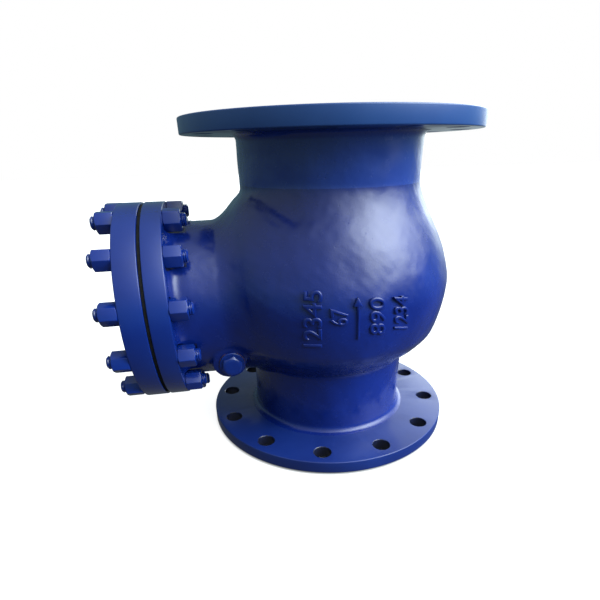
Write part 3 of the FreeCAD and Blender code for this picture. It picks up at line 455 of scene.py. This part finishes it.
cutters = [lathe("pin_bore", [(0, -107), (18.0, -107), (PIN_BORE, -103), (PIN_BORE, 103), (18.0, 107), (0, 107)], 64, "y",
                 (HINGE[0], 0, HINGE[1]))]
for k in range(12):
    a = math.radians(15 + 30 * k)
    c, s = math.cos(a), math.sin(a)
    cutters.append(hole_cutter(13, 3, THICK, "z", (R_BOLTS * c, R_BOLTS * s, 0)))
    cutters.append(hole_cutter(13.2, HIGH - THICK, HIGH - 3, "z", (R_BOLTS * c, R_BOLTS * s, 0)))
    cutters.append(lathe("spot", [(0, X_FACE - 3), (9.75, X_FACE - 3), (9.75, X_BACK), (17, X_BACK),
                                  (17, X_BACK + NUT_HIGH + 2), (0, X_BACK + NUT_HIGH + 2)], 40, "x", (0,) + stud_place(k)))
combine(body, join_meshes("machining", cutters), "DIFFERENCE")
body.name = "valve_body_cast"
smooth_by(body, 28)


# ------------------------------------------------------------------ cast marks on the globe: plain numbers and a flow arrow
def on_globe(corners, s, t, w):
    """Point w mm above the globe; s runs up the characters, t along the line, between four corners (azimuth, elevation)."""
    (a00, e00), (a10, e10), (a01, e01), (a11, e11) = corners
    az = math.radians((1 - s) * (1 - t) * a00 + s * (1 - t) * a10 + (1 - s) * t * a01 + s * t * a11)
    el = math.radians((1 - s) * (1 - t) * e00 + s * (1 - t) * e10 + (1 - s) * t * e01 + s * t * e11)
    r = R_GLOBE + w
    return (GLOBE_X + r * math.cos(el) * math.cos(az), r * math.cos(el) * math.sin(az), GLOBE_Z + r * math.sin(el))


def number_mark(text, corners, bold=-0.03):
    cu = bpy.data.curves.new("mark", "FONT")
    cu.body, cu.size, cu.extrude, cu.bevel_depth, cu.bevel_resolution, cu.offset = text, 1.0, 0.03, 0.06, 2, bold
    cu.resolution_u = 6
    o = link(bpy.data.objects.new("mark", cu))
    deps = bpy.context.evaluated_depsgraph_get()
    me = bpy.data.meshes.new_from_object(o.evaluated_get(deps))
    bpy.data.objects.remove(o)
    bpy.data.curves.remove(cu)
    bm = bmesh.new()
    bm.from_mesh(me)
    bmesh.ops.remove_doubles(bm, verts=bm.verts, dist=1e-5)
    bm.to_mesh(me)
    bm.free()
    co = np.array([v.co[:] for v in me.vertices])
    lo, hi = co.min(0), co.max(0)
    for v in me.vertices:
        t, s, w = [(v.co[i] - lo[i]) / (hi[i] - lo[i]) for i in range(3)]
        v.co = Vector(on_globe(corners, s, t, -2.2 + 4.3 * w)) * MM
    me.update()
    return link(bpy.data.objects.new("mark", me))


def arrow_mark(corners, long, wide):
    """Flat arrow along the line; long and wide in mm."""
    shaft, head, barb = 1.7, 12.0, wide / 2
    pts = [(0, -shaft), (long - head, -shaft), (long - head, -barb), (long, 0), (long - head, barb), (long - head, shaft), (0, shaft)]
    fine = []
    for i, p in enumerate(pts):
        q = pts[(i + 1) % len(pts)]
        n = max(1, int(math.dist(p, q) / 6))
        fine += [(p[0] + (q[0] - p[0]) * j / n, p[1] + (q[1] - p[1]) * j / n) for j in range(n)]
    n = len(fine)
    vs = [(p[0], p[1], -2.2) for p in fine] + [(p[0], p[1], 2.4) for p in fine]
    fs = [tuple(range(n)), tuple(range(n, 2 * n))] + [(k, (k + 1) % n, (k + 1) % n + n, k + n) for k in range(n)]
    o = link(bpy.data.objects.new("mark", outward(poly_mesh("mark", vs, fs))))
    bevelled(o, 1.3, 3, 30)
    for v in o.data.vertices:
        u, q, w = (c / MM for c in v.co)
        v.co = Vector(on_globe(corners, 0.5 + q / wide, u / long, w)) * MM
    o.data.update()
    return o


marks = [number_mark("12345", [(-104.0, -12.8), (-111.9, -13.0), (-104.1, 10.5), (-111.4, 10.4)]),
         number_mark("67", [(-94.1, -3.3), (-101.3, -3.1), (-94.3, 3.4), (-101.4, 3.6)]),
         number_mark("890", [(-78.2, -9.2), (-85.4, -8.0), (-79.8, 6.4), (-86.4, 7.2)]),
         number_mark("1234", [(-66.9, -9.1), (-74.5, -7.4), (-69.4, 5.4), (-76.0, 6.5)]),
         arrow_mark([(-88.0, -9.6), (-91.7, -9.6), (-89.0, 7.6), (-92.7, 7.6)], 55.0, 12.0)]
for o in marks:
    outward(o.data)
    smooth_by(o, 40)


# ------------------------------------------------------------------ materials
def material(name):
    m = bpy.data.materials.new(name)
    m.use_nodes = True
    nt = m.node_tree
    nt.nodes.clear()
    out = nt.nodes.new("ShaderNodeOutputMaterial")
    bsdf = nt.nodes.new("ShaderNodeBsdfPrincipled")
    nt.links.new(bsdf.outputs[0], out.inputs[0])
    return m, nt, bsdf


def node(nt, kind, **inputs):
    n = nt.nodes.new(kind)
    for key, value in inputs.items():
        key = key.replace("_", " ")
        if key in n.inputs:
            n.inputs[key].default_value = value
    return n


def coords(nt):
    return nt.nodes.new("ShaderNodeTexCoord").outputs["Object"]


def noise(nt, vec, scale, detail=4.0, rough=0.55):
    n = node(nt, "ShaderNodeTexNoise", Scale=scale, Detail=detail, Roughness=rough)
    nt.links.new(vec, n.inputs["Vector"])
    return n.outputs["Fac"]


def ramp(nt, fac, stops):
    n = nt.nodes.new("ShaderNodeValToRGB")
    nt.links.new(fac, n.inputs["Fac"])
    els = n.color_ramp.elements
    while len(els) > 1:
        els.remove(els[-1])
    els[0].position, els[0].color = stops[0]
    for p, c in stops[1:]:
        els.new(p).color = c
    return n.outputs["Color"]


def maths(nt, op, a, b=None):
    n = nt.nodes.new("ShaderNodeMath")
    n.operation = op
    for i, v in enumerate((a, b)):
        if v is None:
            continue
        if isinstance(v, (int, float)):
            n.inputs[i].default_value = v
        else:
            nt.links.new(v, n.inputs[i])
    return n.outputs[0]


def bump(nt, height, strength, distance, after=None):
    n = node(nt, "ShaderNodeBump", Strength=strength, Distance=distance)
    nt.links.new(height, n.inputs["Height"])
    if after is not None:
        nt.links.new(after, n.inputs["Normal"])
    return n.outputs["Normal"]


def grey(v):
    return (v, v, v, 1)


def enamel(name, deep, light, rough, cast=1.0, turned=False):
    """Glossy blue enamel; cast adds the grain and pits of paint over sand-cast steel."""
    m, nt, b = material(name)
    vec = coords(nt)
    tint = ramp(nt, noise(nt, vec, 9.0, 5.0), [(0.35, deep), (0.68, light)])
    nt.links.new(tint, b.inputs["Base Color"])
    b.inputs["Roughness"].default_value = rough
    fine = noise(nt, vec, 55.0, 6.0, 0.6)
    r = maths(nt, "ADD", maths(nt, "MULTIPLY", fine, 0.16), rough - 0.08)
    nt.links.new(r, b.inputs["Roughness"])
    b.inputs["Coat Weight"].default_value = 0.45
    b.inputs["Coat Roughness"].default_value = 0.20 if cast > 0.3 else 0.13
    b.inputs["Specular IOR Level"].default_value = 0.30
    # the paint wrinkles in patches
    patch = ramp(nt, noise(nt, vec, 14.0, 3.0), [(0.42, grey(0.25)), (0.60, grey(1.0))])
    n = bump(nt, maths(nt, "MULTIPLY", noise(nt, vec, 110.0, 3.0, 0.5), patch), 0.26 * cast + 0.03, 0.0012)
    n = bump(nt, maths(nt, "MULTIPLY", noise(nt, vec, 480.0, 3.0, 0.55), patch), 0.26 * cast + 0.02, 0.0005, n)
    if cast > 0.3:
        v = node(nt, "ShaderNodeTexVoronoi", Scale=75.0, Randomness=1.0)
        nt.links.new(vec, v.inputs["Vector"])
        pits = ramp(nt, v.outputs["Distance"], [(0.0, grey(0.0)), (0.085, grey(1.0))])
        n = bump(nt, pits, 0.5 * cast, 0.0006, n)
    nt.links.new(n, b.inputs["Normal"])
    return m


cast_blue = enamel("cast_enamel", (0.0012, 0.0085, 0.100, 1), (0.0028, 0.0140, 0.142, 1), 0.26, 1.0)
turned_blue = enamel("turned_enamel", (0.0016, 0.0120, 0.112, 1), (0.0032, 0.0175, 0.142, 1), 0.20, 0.10)
plate_blue = enamel("plate_enamel", (0.0022, 0.0120, 0.100, 1), (0.0052, 0.0195, 0.134, 1), 0.46, 0.12)
inner_blue = enamel("inner_enamel", (0.0015, 0.0070, 0.060, 1), (0.0035, 0.0120, 0.095, 1), 0.5, 0.9)
# painted reflection: the top flange gets a lighter, greener copy of the enamel for the greenish room light its rim
# reflects
rim_painted_sheen_blue = enamel("rim_enamel_painted_sheen", (0.0075, 0.0340, 0.142, 1), (0.0115, 0.0460, 0.172, 1), 0.42, 0.12)
# painted light: a lighter, bluer copy of the cast enamel for the upper neck, standing in for light that the upper
# flange shades off
neck_painted_light_blue = enamel("neck_enamel_painted_light", (0.0080, 0.0270, 0.178, 1), (0.0130, 0.0370, 0.228, 1), 0.26, 1.0)
# painted shade: a near-black copy of the enamel for the insides of the flange bolt holes
hole_painted_shade_blue = enamel("hole_enamel_painted_shade", (0.0012, 0.0026, 0.016, 1), (0.0024, 0.0050, 0.028, 1), 0.55, 0.3)
bolt_blue = enamel("bolt_enamel", (0.0012, 0.0120, 0.118, 1), (0.0028, 0.0180, 0.160, 1), 0.24, 0.15)


def steel(name, colour, rough, rings=0.0, centre=(0, 0), grain=0.3):
    m, nt, b = material(name)
    vec = coords(nt)
    tint = ramp(nt, noise(nt, vec, 22.0, 5.0), [(0.3, tuple(c * 0.86 for c in colour) + (1,)), (0.7, colour + (1,))])
    nt.links.new(tint, b.inputs["Base Color"])
    b.inputs["Metallic"].default_value = 1.0
    r = maths(nt, "ADD", maths(nt, "MULTIPLY", noise(nt, vec, 70.0, 5.0), 0.22), rough - 0.1)
    nt.links.new(r, b.inputs["Roughness"])
    n = bump(nt, noise(nt, vec, 400.0, 4.0), grain, 0.0003)
    if rings:
        sep = nt.nodes.new("ShaderNodeSeparateXYZ")
        nt.links.new(vec, sep.inputs[0])
        x = maths(nt, "SUBTRACT", sep.outputs[0], centre[0])
        y = maths(nt, "SUBTRACT", sep.outputs[1], centre[1])
        rad = maths(nt, "SQRT", maths(nt, "ADD", maths(nt, "MULTIPLY", x, x), maths(nt, "MULTIPLY", y, y)))
        w = maths(nt, "SINE", maths(nt, "MULTIPLY", rad, 2 * math.pi / rings))
        n = bump(nt, w, 0.5, 0.00025, n)
    nt.links.new(n, b.inputs["Normal"])
    return m


seal_steel = steel("flange_face_steel", (0.50, 0.50, 0.51), 0.36, rings=0.0011)
stainless = steel("turned_stainless", (0.62, 0.61, 0.60), 0.28, rings=0.0016, grain=0.15)
pin_steel = steel("ground_steel", (0.58, 0.58, 0.60), 0.25, grain=0.12)
forged = steel("cast_steel_bare", (0.30, 0.29, 0.285), 0.55, grain=0.8)
bronze = steel("bronze", (0.63, 0.42, 0.20), 0.34)
copper = steel("copper", (0.20, 0.10, 0.075), 0.5)

m, nt, b = material("graphite")
vec = coords(nt)
nt.links.new(ramp(nt, noise(nt, vec, 160.0, 6.0), [(0.3, grey(0.004)), (0.7, grey(0.010))]), b.inputs["Base Color"])
b.inputs["Roughness"].default_value = 0.9
b.inputs["Specular IOR Level"].default_value = 0.15
nt.links.new(bump(nt, noise(nt, vec, 700.0, 4.0), 0.4, 0.0003), b.inputs["Normal"])
graphite = m

# faces of the casting: as cast, turned, bare sealing face, inside; a painted reflection on the top flange, painted
# light on the upper neck and painted shade in the bolt holes
me = body.data
me.materials.clear()
for mat in (cast_blue, turned_blue, inner_blue, seal_steel, rim_painted_sheen_blue, plate_blue, neck_painted_light_blue, hole_painted_shade_blue):
    me.materials.append(mat)
nf = len(me.polygons)
cen = np.empty(nf * 3, np.float32)
me.polygons.foreach_get("center", cen)
cen = cen.reshape(-1, 3) / MM
rad = np.hypot(cen[:, 0], cen[:, 1])
rs = np.hypot(cen[:, 1], cen[:, 2] - SIDE_Z)
in_plates = (cen[:, 2] < THICK + 0.05) | (cen[:, 2] > HIGH - THICK - 0.05)
in_side = cen[:, 0] < X_BACK + 0.1
idx = np.zeros(nf, np.int32)
idx[in_plates | in_side] = 1
# painted reflection: the top flange plate gets the lighter, greener enamel
idx[cen[:, 2] > HIGH - THICK - 0.05] = 4
idx[cen[:, 2] < THICK + 0.05] = 5
step = math.radians(30)
turn = np.round((np.arctan2(cen[:, 1], cen[:, 0]) - step / 2) / step) * step + step / 2
off = np.hypot(cen[:, 0] - R_BOLTS * np.cos(turn), cen[:, 1] - R_BOLTS * np.sin(turn))
# painted shade: faces inside the flange bolt holes get the near-black enamel
idx[in_plates & (off < 13.4) & (cen[:, 2] > 3.5) & (cen[:, 2] < HIGH - 3.5)] = 7
# painted light: the neck above z = 377 mm gets the lighter enamel, against the shade under the upper flange
idx[(idx == 0) & (cen[:, 2] > 377)] = 6
idx[(field(casting, cen.astype(float)) < -2.5) & ~in_plates & ~in_side] = 2
idx[(rad < R_PORT + 0.3) & in_plates] = 2
idx[(rs < R_SIDE_BORE + 0.3) & in_side] = 2
idx[((cen[:, 2] < 0.6) | (cen[:, 2] > HIGH - 0.6)) & (rad > R_PORT)] = 3
me.polygons.foreach_set("material_index", idx)
me.update()
for o in marks:
    o.data.materials.clear()
    o.data.materials.append(cast_blue)
with bpy.context.temp_override(active_object=body, object=body, selected_objects=[body] + marks,
                               selected_editable_objects=[body] + marks):
    bpy.ops.object.join()
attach(body, "housing")
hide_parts("valve_body")

# ------------------------------------------------------------------ side cover, gasket
cover = lathe("cover", rounded_corners(
    [(0, X_COVER - 4), (37, X_COVER - 4), (37, X_COVER), (R_SIDE_FLANGE, X_COVER), (R_SIDE_FLANGE, X_COVER_IN),
     (102.5, X_COVER_IN), (102.5, X_COVER_IN + 12), (0, X_COVER_IN + 12)],
    [0, 1.5, 2.0, EDGE, 1.2, 1.0, 1.5, 0]), SEG, "x", (0, 0, SIDE_Z))
combine(cover, join_meshes("holes", [hole_cutter(9.75, X_COVER, X_COVER_IN, "x", (0,) + stud_place(k), 32)
                                     for k in range(12)]), "DIFFERENCE")
cover.name = "bonnet_cover_turned"
smooth_by(cover, 28)
cover.data.materials.clear()
cover.data.materials.append(turned_blue)
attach(cover, "housing")
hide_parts("bonnet_cover")

gasket = lathe("joint_gasket", rounded_corners(
    [(104.5, X_COVER_IN), (139.5, X_COVER_IN), (139.5, X_FACE), (104.5, X_FACE)], 0.8, 3), SEG, "x", (0, 0, SIDE_Z))
combine(gasket, join_meshes("holes", [lathe("hole", [(0, X_COVER_IN - 2), (9.25, X_COVER_IN - 2), (9.25, X_FACE + 2),
                                                     (0, X_FACE + 2)], 32, "x", (0,) + stud_place(k))
                                      for k in range(12)]), "DIFFERENCE")
smooth_by(gasket, 40)
gasket.data.materials.clear()
gasket.data.materials.append(graphite)
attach(gasket, "housing")
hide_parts("bonnet_gasket")

# ------------------------------------------------------------------ studs and nuts
OUTER_TURN = [12, 47, 3, 1, 49, 13, 22, 20, 51, 17, 33, 42]
INNER_TURN = [30, 5, 52, 10, 49, 0, 4, 52, 14, 36, 49, 22]


def hex_nut(name, flats, height, bore):
    """Hexagon nut along +x from x = 0, corners turned off at both ends."""
    corner = flats / math.sqrt(3)
    pts = [(corner * math.cos(math.radians(60 * k)), corner * math.sin(math.radians(60 * k))) for k in range(6)]
    verts = [(0, p[0], p[1]) for p in pts] + [(height, p[0], p[1]) for p in pts]
    faces = [tuple(range(6)), tuple(range(6, 12))] + [(k, (k + 1) % 6, (k + 1) % 6 + 6, k + 6) for k in range(6)]
    nut = link(bpy.data.objects.new(name, outward(poly_mesh(name, verts, faces))))
    big = corner + 2
    rim = flats / 2 - 0.6
    drop_ = (big - rim) * math.tan(math.radians(34))
    cone_solid = lathe("cone", [(0, 0), (rim, 0), (big, drop_ * 0.6), (big, height - drop_), (rim, height), (0, height)], 72, "x")
    combine(nut, cone_solid, "INTERSECT")
    hole = lathe("bore", [(0, -2), (bore + 3, -2), (bore + 1.0, 0), (bore, 1.2), (bore, height - 1.2),
                          (bore + 1.0, height), (bore + 3, height + 2), (0, height + 2)], 40, "x")
    combine(nut, hole, "DIFFERENCE")
    bevelled(nut, 0.9, 3, 20)
    return smooth_by(nut, 35)


nut = hex_nut("nut_pattern", NUT_FLATS, NUT_HIGH, STUD_R + 0.1)
end_out = X_COVER - NUT_HIGH - STUD_PAST
end_in = X_BACK + NUT_HIGH + STUD_PAST
pitch = 2.5
prof = [(0, end_out), (6.6, end_out), (8.1, end_out + 1.4)]
x = end_out + 1.9
while x < X_COVER - NUT_HIGH + 2.0:
    prof += [(8.85, x + 0.35), (8.95, x + 0.75), (8.35, x + 1.75), (8.3, x + 2.2)]
    x += pitch
prof += [(8.7, x + 0.6), (8.7, end_in - 9.6)]
x = end_in - 9.2
while x < end_in - 2.2:
    prof += [(8.3, x + 0.2), (8.35, x + 0.6), (8.95, x + 1.6), (8.85, x + 2.1)]
    x += pitch
prof = [p for p in prof if p[1] < end_in - 1.5] + [(8.1, end_in - 1.4), (6.6, end_in), (0, end_in)]
stud = lathe("stud_pattern", prof, 40, "x")
smooth_by(stud, 50)


def copies(pattern, name, places, mat, node_name):
    out = []
    for mtx in places:
        o = link(bpy.data.objects.new(name + "_copy", pattern.data.copy()))
        o.data.transform(mtx)
        out.append(o)
    obj = join_meshes(name, out)
    smooth_by(obj, 35)
    obj.data.materials.clear()
    obj.data.materials.append(mat)
    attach(obj, "housing")
    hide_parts(node_name)
    return obj


def seat(k, x_mm, turn, flip=False):
    mtx = Matrix.Translation(Vector((x_mm,) + stud_place(k)) * MM)
    mtx = mtx @ Matrix.Rotation(math.radians(turn), 4, "X")
    if flip:
        mtx = mtx @ Matrix.Rotation(math.pi, 4, "Z")
    return mtx


copies(nut, "cover_nuts_painted", [seat(k, X_COVER, OUTER_TURN[k], True) for k in range(12)], bolt_blue,
       "cover_nuts")
copies(nut, "body_side_nuts_painted", [seat(k, X_BACK, INNER_TURN[k]) for k in range(12)], bolt_blue,
       "body_side_nuts")
copies(stud, "cover_studs_painted", [seat(k, 0, 7 * k) for k in range(12)], bolt_blue,
       "cover_studs")
drop(nut)
drop(stud)

# ------------------------------------------------------------------ pin plugs
for side, end in ((-1, "front"), (1, "back")):
    # solid head: a collar and shank behind a domed hexagon
    head = 27 / math.sqrt(3)
    pts = [(head * math.cos(math.radians(60 * k + 18)), head * math.sin(math.radians(60 * k + 18))) for k in range(6)]
    verts_ = [(p[0] + HINGE[0], side * 108.5, p[1] + HINGE[1]) for p in pts] + \
             [(p[0] + HINGE[0], side * 118.0, p[1] + HINGE[1]) for p in pts]
    faces_ = [tuple(range(6)), tuple(range(6, 12))] + [(k, (k + 1) % 6, (k + 1) % 6 + 6, k + 6) for k in range(6)]
    hexa = link(bpy.data.objects.new("plug_hex", outward(poly_mesh("plug_hex", verts_, faces_))))
    dome = lathe("dome", [(0, 100 * side), (20, 100 * side), (20, 111.5 * side), (14.9, 115.0 * side), (12.2, 117.2 * side),
                          (9.0, 118.0 * side), (0, 118.0 * side)], 72, "y", (HINGE[0], 0, HINGE[1]))
    combine(hexa, dome, "INTERSECT")
    bevelled(hexa, 0.9, 3, 12)
    collar = lathe("collar", rounded_corners([(0, side * 106), (18, side * 106), (18, side * 109), (0, side * 109)],
                                             [0, 0.3, 1.2, 0]), 72, "y", (HINGE[0], 0, HINGE[1]))
    shank = lathe("shank", [(0, side * 96), (13.2, side * 96), (13.9, side * 97), (13.9, side * 107), (0, side * 107)],
                  64, "y", (HINGE[0], 0, HINGE[1]))
    combine(hexa, collar, "UNION")
    combine(hexa, shank, "UNION")
    hexa.name = "pin_plug_%s_painted" % end
    smooth_by(hexa, 32)
    hexa.data.materials.clear()
    hexa.data.materials.append(bolt_blue)
    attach(hexa, "housing")
    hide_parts("pin_plug_" + end)

# ------------------------------------------------------------------ CAD pieces that keep their shape
KEEP = {"seat_ring": stainless, "disc": forged, "swing_arm": forged, "hinge_pin": pin_steel,
        "arm_cross_pin": pin_steel, "pin_bush_front": bronze, "pin_bush_back": bronze,
        "arm_spacer_front": bronze, "arm_spacer_back": bronze, "plug_gasket_front": copper,
        "plug_gasket_back": copper, "disc_washer": stainless, "disc_nut": stainless, "split_pin": stainless}
for name, mat in KEEP.items():
    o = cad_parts[name]
    o.data.materials.clear()
    o.data.materials.append(mat)

# ------------------------------------------------------------------ studio
floor = link(bpy.data.objects.new("floor", poly_mesh("floor", [(-9000, -9000, -0.5), (9000, -9000, -0.5), (9000, 9000, -0.5),
                                                               (-9000, 9000, -0.5)], [(0, 1, 2, 3)])))
m = bpy.data.materials.new("floor_white")
m.use_nodes = True
nt = m.node_tree
nt.nodes.clear()
out = nt.nodes.new("ShaderNodeOutputMaterial")
add = nt.nodes.new("ShaderNodeAddShader")
# pale and evenly lit, but dark in the shade under the flange
pos = nt.nodes.new("ShaderNodeNewGeometry").outputs["Position"]
flat = nt.nodes.new("ShaderNodeVectorMath")
flat.operation = "LENGTH"
nt.links.new(pos, flat.inputs[0])
open_ = nt.nodes.new("ShaderNodeMapRange")
open_.interpolation_type = "SMOOTHSTEP"
nt.links.new(flat.outputs["Value"], open_.inputs[0])
for i, v in enumerate((0.196, 0.206, 0.0, 0.90), 1):
    open_.inputs[i].default_value = v
glow = node(nt, "ShaderNodeEmission", Color=(1, 1, 1, 1))
nt.links.new(open_.outputs[0], glow.inputs["Strength"])
matt = node(nt, "ShaderNodeBsdfDiffuse", Color=(0.30, 0.30, 0.31, 1))
nt.links.new(glow.outputs[0], add.inputs[0])
nt.links.new(matt.outputs[0], add.inputs[1])
nt.links.new(add.outputs[0], out.inputs[0])
m.cycles.emission_sampling = "NONE"
floor.data.materials.append(m)
floor.visible_diffuse = False
floor.visible_glossy = False
floor.visible_shadow = False


def area(name, loc, target, size, power, colour=(1, 1, 1), glossy=True):
    d = bpy.data.lights.new(name, "AREA")
    d.shape = "RECTANGLE"
    d.size, d.size_y = size
    d.energy, d.color = power, colour
    o = link(bpy.data.objects.new(name, d))
    o.location = loc
    o.rotation_euler = (Vector(target) - Vector(loc)).to_track_quat("-Z", "Y").to_euler()
    o.visible_glossy = glossy
    return o


world = bpy.data.worlds.new("world")
bpy.context.scene.world = world
world.use_nodes = True
nt = world.node_tree
nt.nodes.clear()
out = nt.nodes.new("ShaderNodeOutputWorld")
mix = nt.nodes.new("ShaderNodeMixShader")
path = nt.nodes.new("ShaderNodeLightPath")
seen = node(nt, "ShaderNodeBackground", Color=(1, 1, 1, 1), Strength=1.0)
lit = node(nt, "ShaderNodeBackground", Strength=1.0)
nt.links.new(path.outputs["Is Camera Ray"], mix.inputs[0])
nt.links.new(lit.outputs[0], mix.inputs[1])
nt.links.new(seen.outputs[0], mix.inputs[2])
nt.links.new(mix.outputs[0], out.inputs[0])
# dim room with soft bright regions: (direction, width in radians, colour)
where = nt.nodes.new("ShaderNodeTexCoord").outputs["Generated"]


def glow_from(azimuth, elevation, width, colour):
    a, e = math.radians(azimuth), math.radians(elevation)
    dot = nt.nodes.new("ShaderNodeVectorMath")
    dot.operation = "DOT_PRODUCT"
    unit = nt.nodes.new("ShaderNodeVectorMath")
    unit.operation = "NORMALIZE"
    nt.links.new(where, unit.inputs[0])
    nt.links.new(unit.outputs[0], dot.inputs[0])
    dot.inputs[1].default_value = (math.cos(e) * math.cos(a), math.cos(e) * math.sin(a), math.sin(e))
    # a bell of the angle: exp((cos - 1) / width squared)
    p = maths(nt, "EXPONENT", maths(nt, "MULTIPLY", maths(nt, "SUBTRACT", dot.outputs["Value"], 1.0), 1.0 / width ** 2))
    s = nt.nodes.new("ShaderNodeVectorMath")
    s.operation = "SCALE"
    s.inputs[0].default_value = colour
    nt.links.new(p, s.inputs["Scale"])
    return s.outputs[0]


def plus(a, b):
    s = nt.nodes.new("ShaderNodeVectorMath")
    s.operation = "ADD"
    nt.links.new(a, s.inputs[0])
    if isinstance(b, tuple):
        s.inputs[1].default_value = b
    else:
        nt.links.new(b, s.inputs[1])
    return s.outputs[0]


def plus_one(a):
    return plus(a, (1.0, 1.0, 1.0))


GLOWS = [(-29, 43, 0.34, (10.6, 11.8, 12.0)),   # tall window to the right, in front
         (50, 18, 0.20, (5.0, 5.5, 5.6))]       # pale wall behind, to the right
# the window ends at its sill
sep = nt.nodes.new("ShaderNodeSeparateXYZ")
nt.links.new(where, sep.inputs[0])
sill = nt.nodes.new("ShaderNodeMapRange")
sill.interpolation_type = "SMOOTHSTEP"
nt.links.new(sep.outputs["Z"], sill.inputs[0])
for i, v in enumerate((0.05, 0.42, 0.0, 1.0), 1):
    sill.inputs[i].default_value = v
pane = nt.nodes.new("ShaderNodeVectorMath")
pane.operation = "SCALE"
nt.links.new(glow_from(*GLOWS[0]), pane.inputs[0])
nt.links.new(sill.outputs[0], pane.inputs["Scale"])
total = pane.outputs[0]
for g in GLOWS[1:]:
    total = plus(total, glow_from(*g))
# walls and floor of the room, darker below
fall = maths(nt, "ADD", maths(nt, "MULTIPLY", sep.outputs["Z"], 0.5), 0.5)
room = ramp(nt, fall, [(0.0, (0.13, 0.14, 0.15, 1)), (0.33, (0.11, 0.13, 0.14, 1)), (0.42, (0.12, 0.17, 0.19, 1)),
                       (0.5, (0.19, 0.32, 0.36, 1)), (0.585, (0.26, 0.42, 0.46, 1)), (0.67, (0.40, 0.54, 0.56, 1)),
                       (0.76, (0.52, 0.63, 0.63, 1)), (1.0, (0.62, 0.74, 0.74, 1))])
# darker behind the valve
dull = nt.nodes.new("ShaderNodeVectorMath")
dull.operation = "MULTIPLY"
nt.links.new(room, dull.inputs[0])
nt.links.new(plus_one(glow_from(105, 28, 0.50, (-0.68, -0.62, -0.60))), dull.inputs[1])
total = plus(total, dull.outputs[0])
nt.links.new(total, lit.inputs["Color"])

# broad low fill that leaves no reflection of its own
a = math.radians(-26)
area("fill", (3.0 * math.cos(a), 3.0 * math.sin(a), 0.95), (0, 0, 0.25), (1.6, 1.2), 125.0, (0.92, 1.0, 1.0), False)

scene = bpy.context.scene
scene.view_settings.view_transform = "Standard"
scene.view_settings.look = "None"
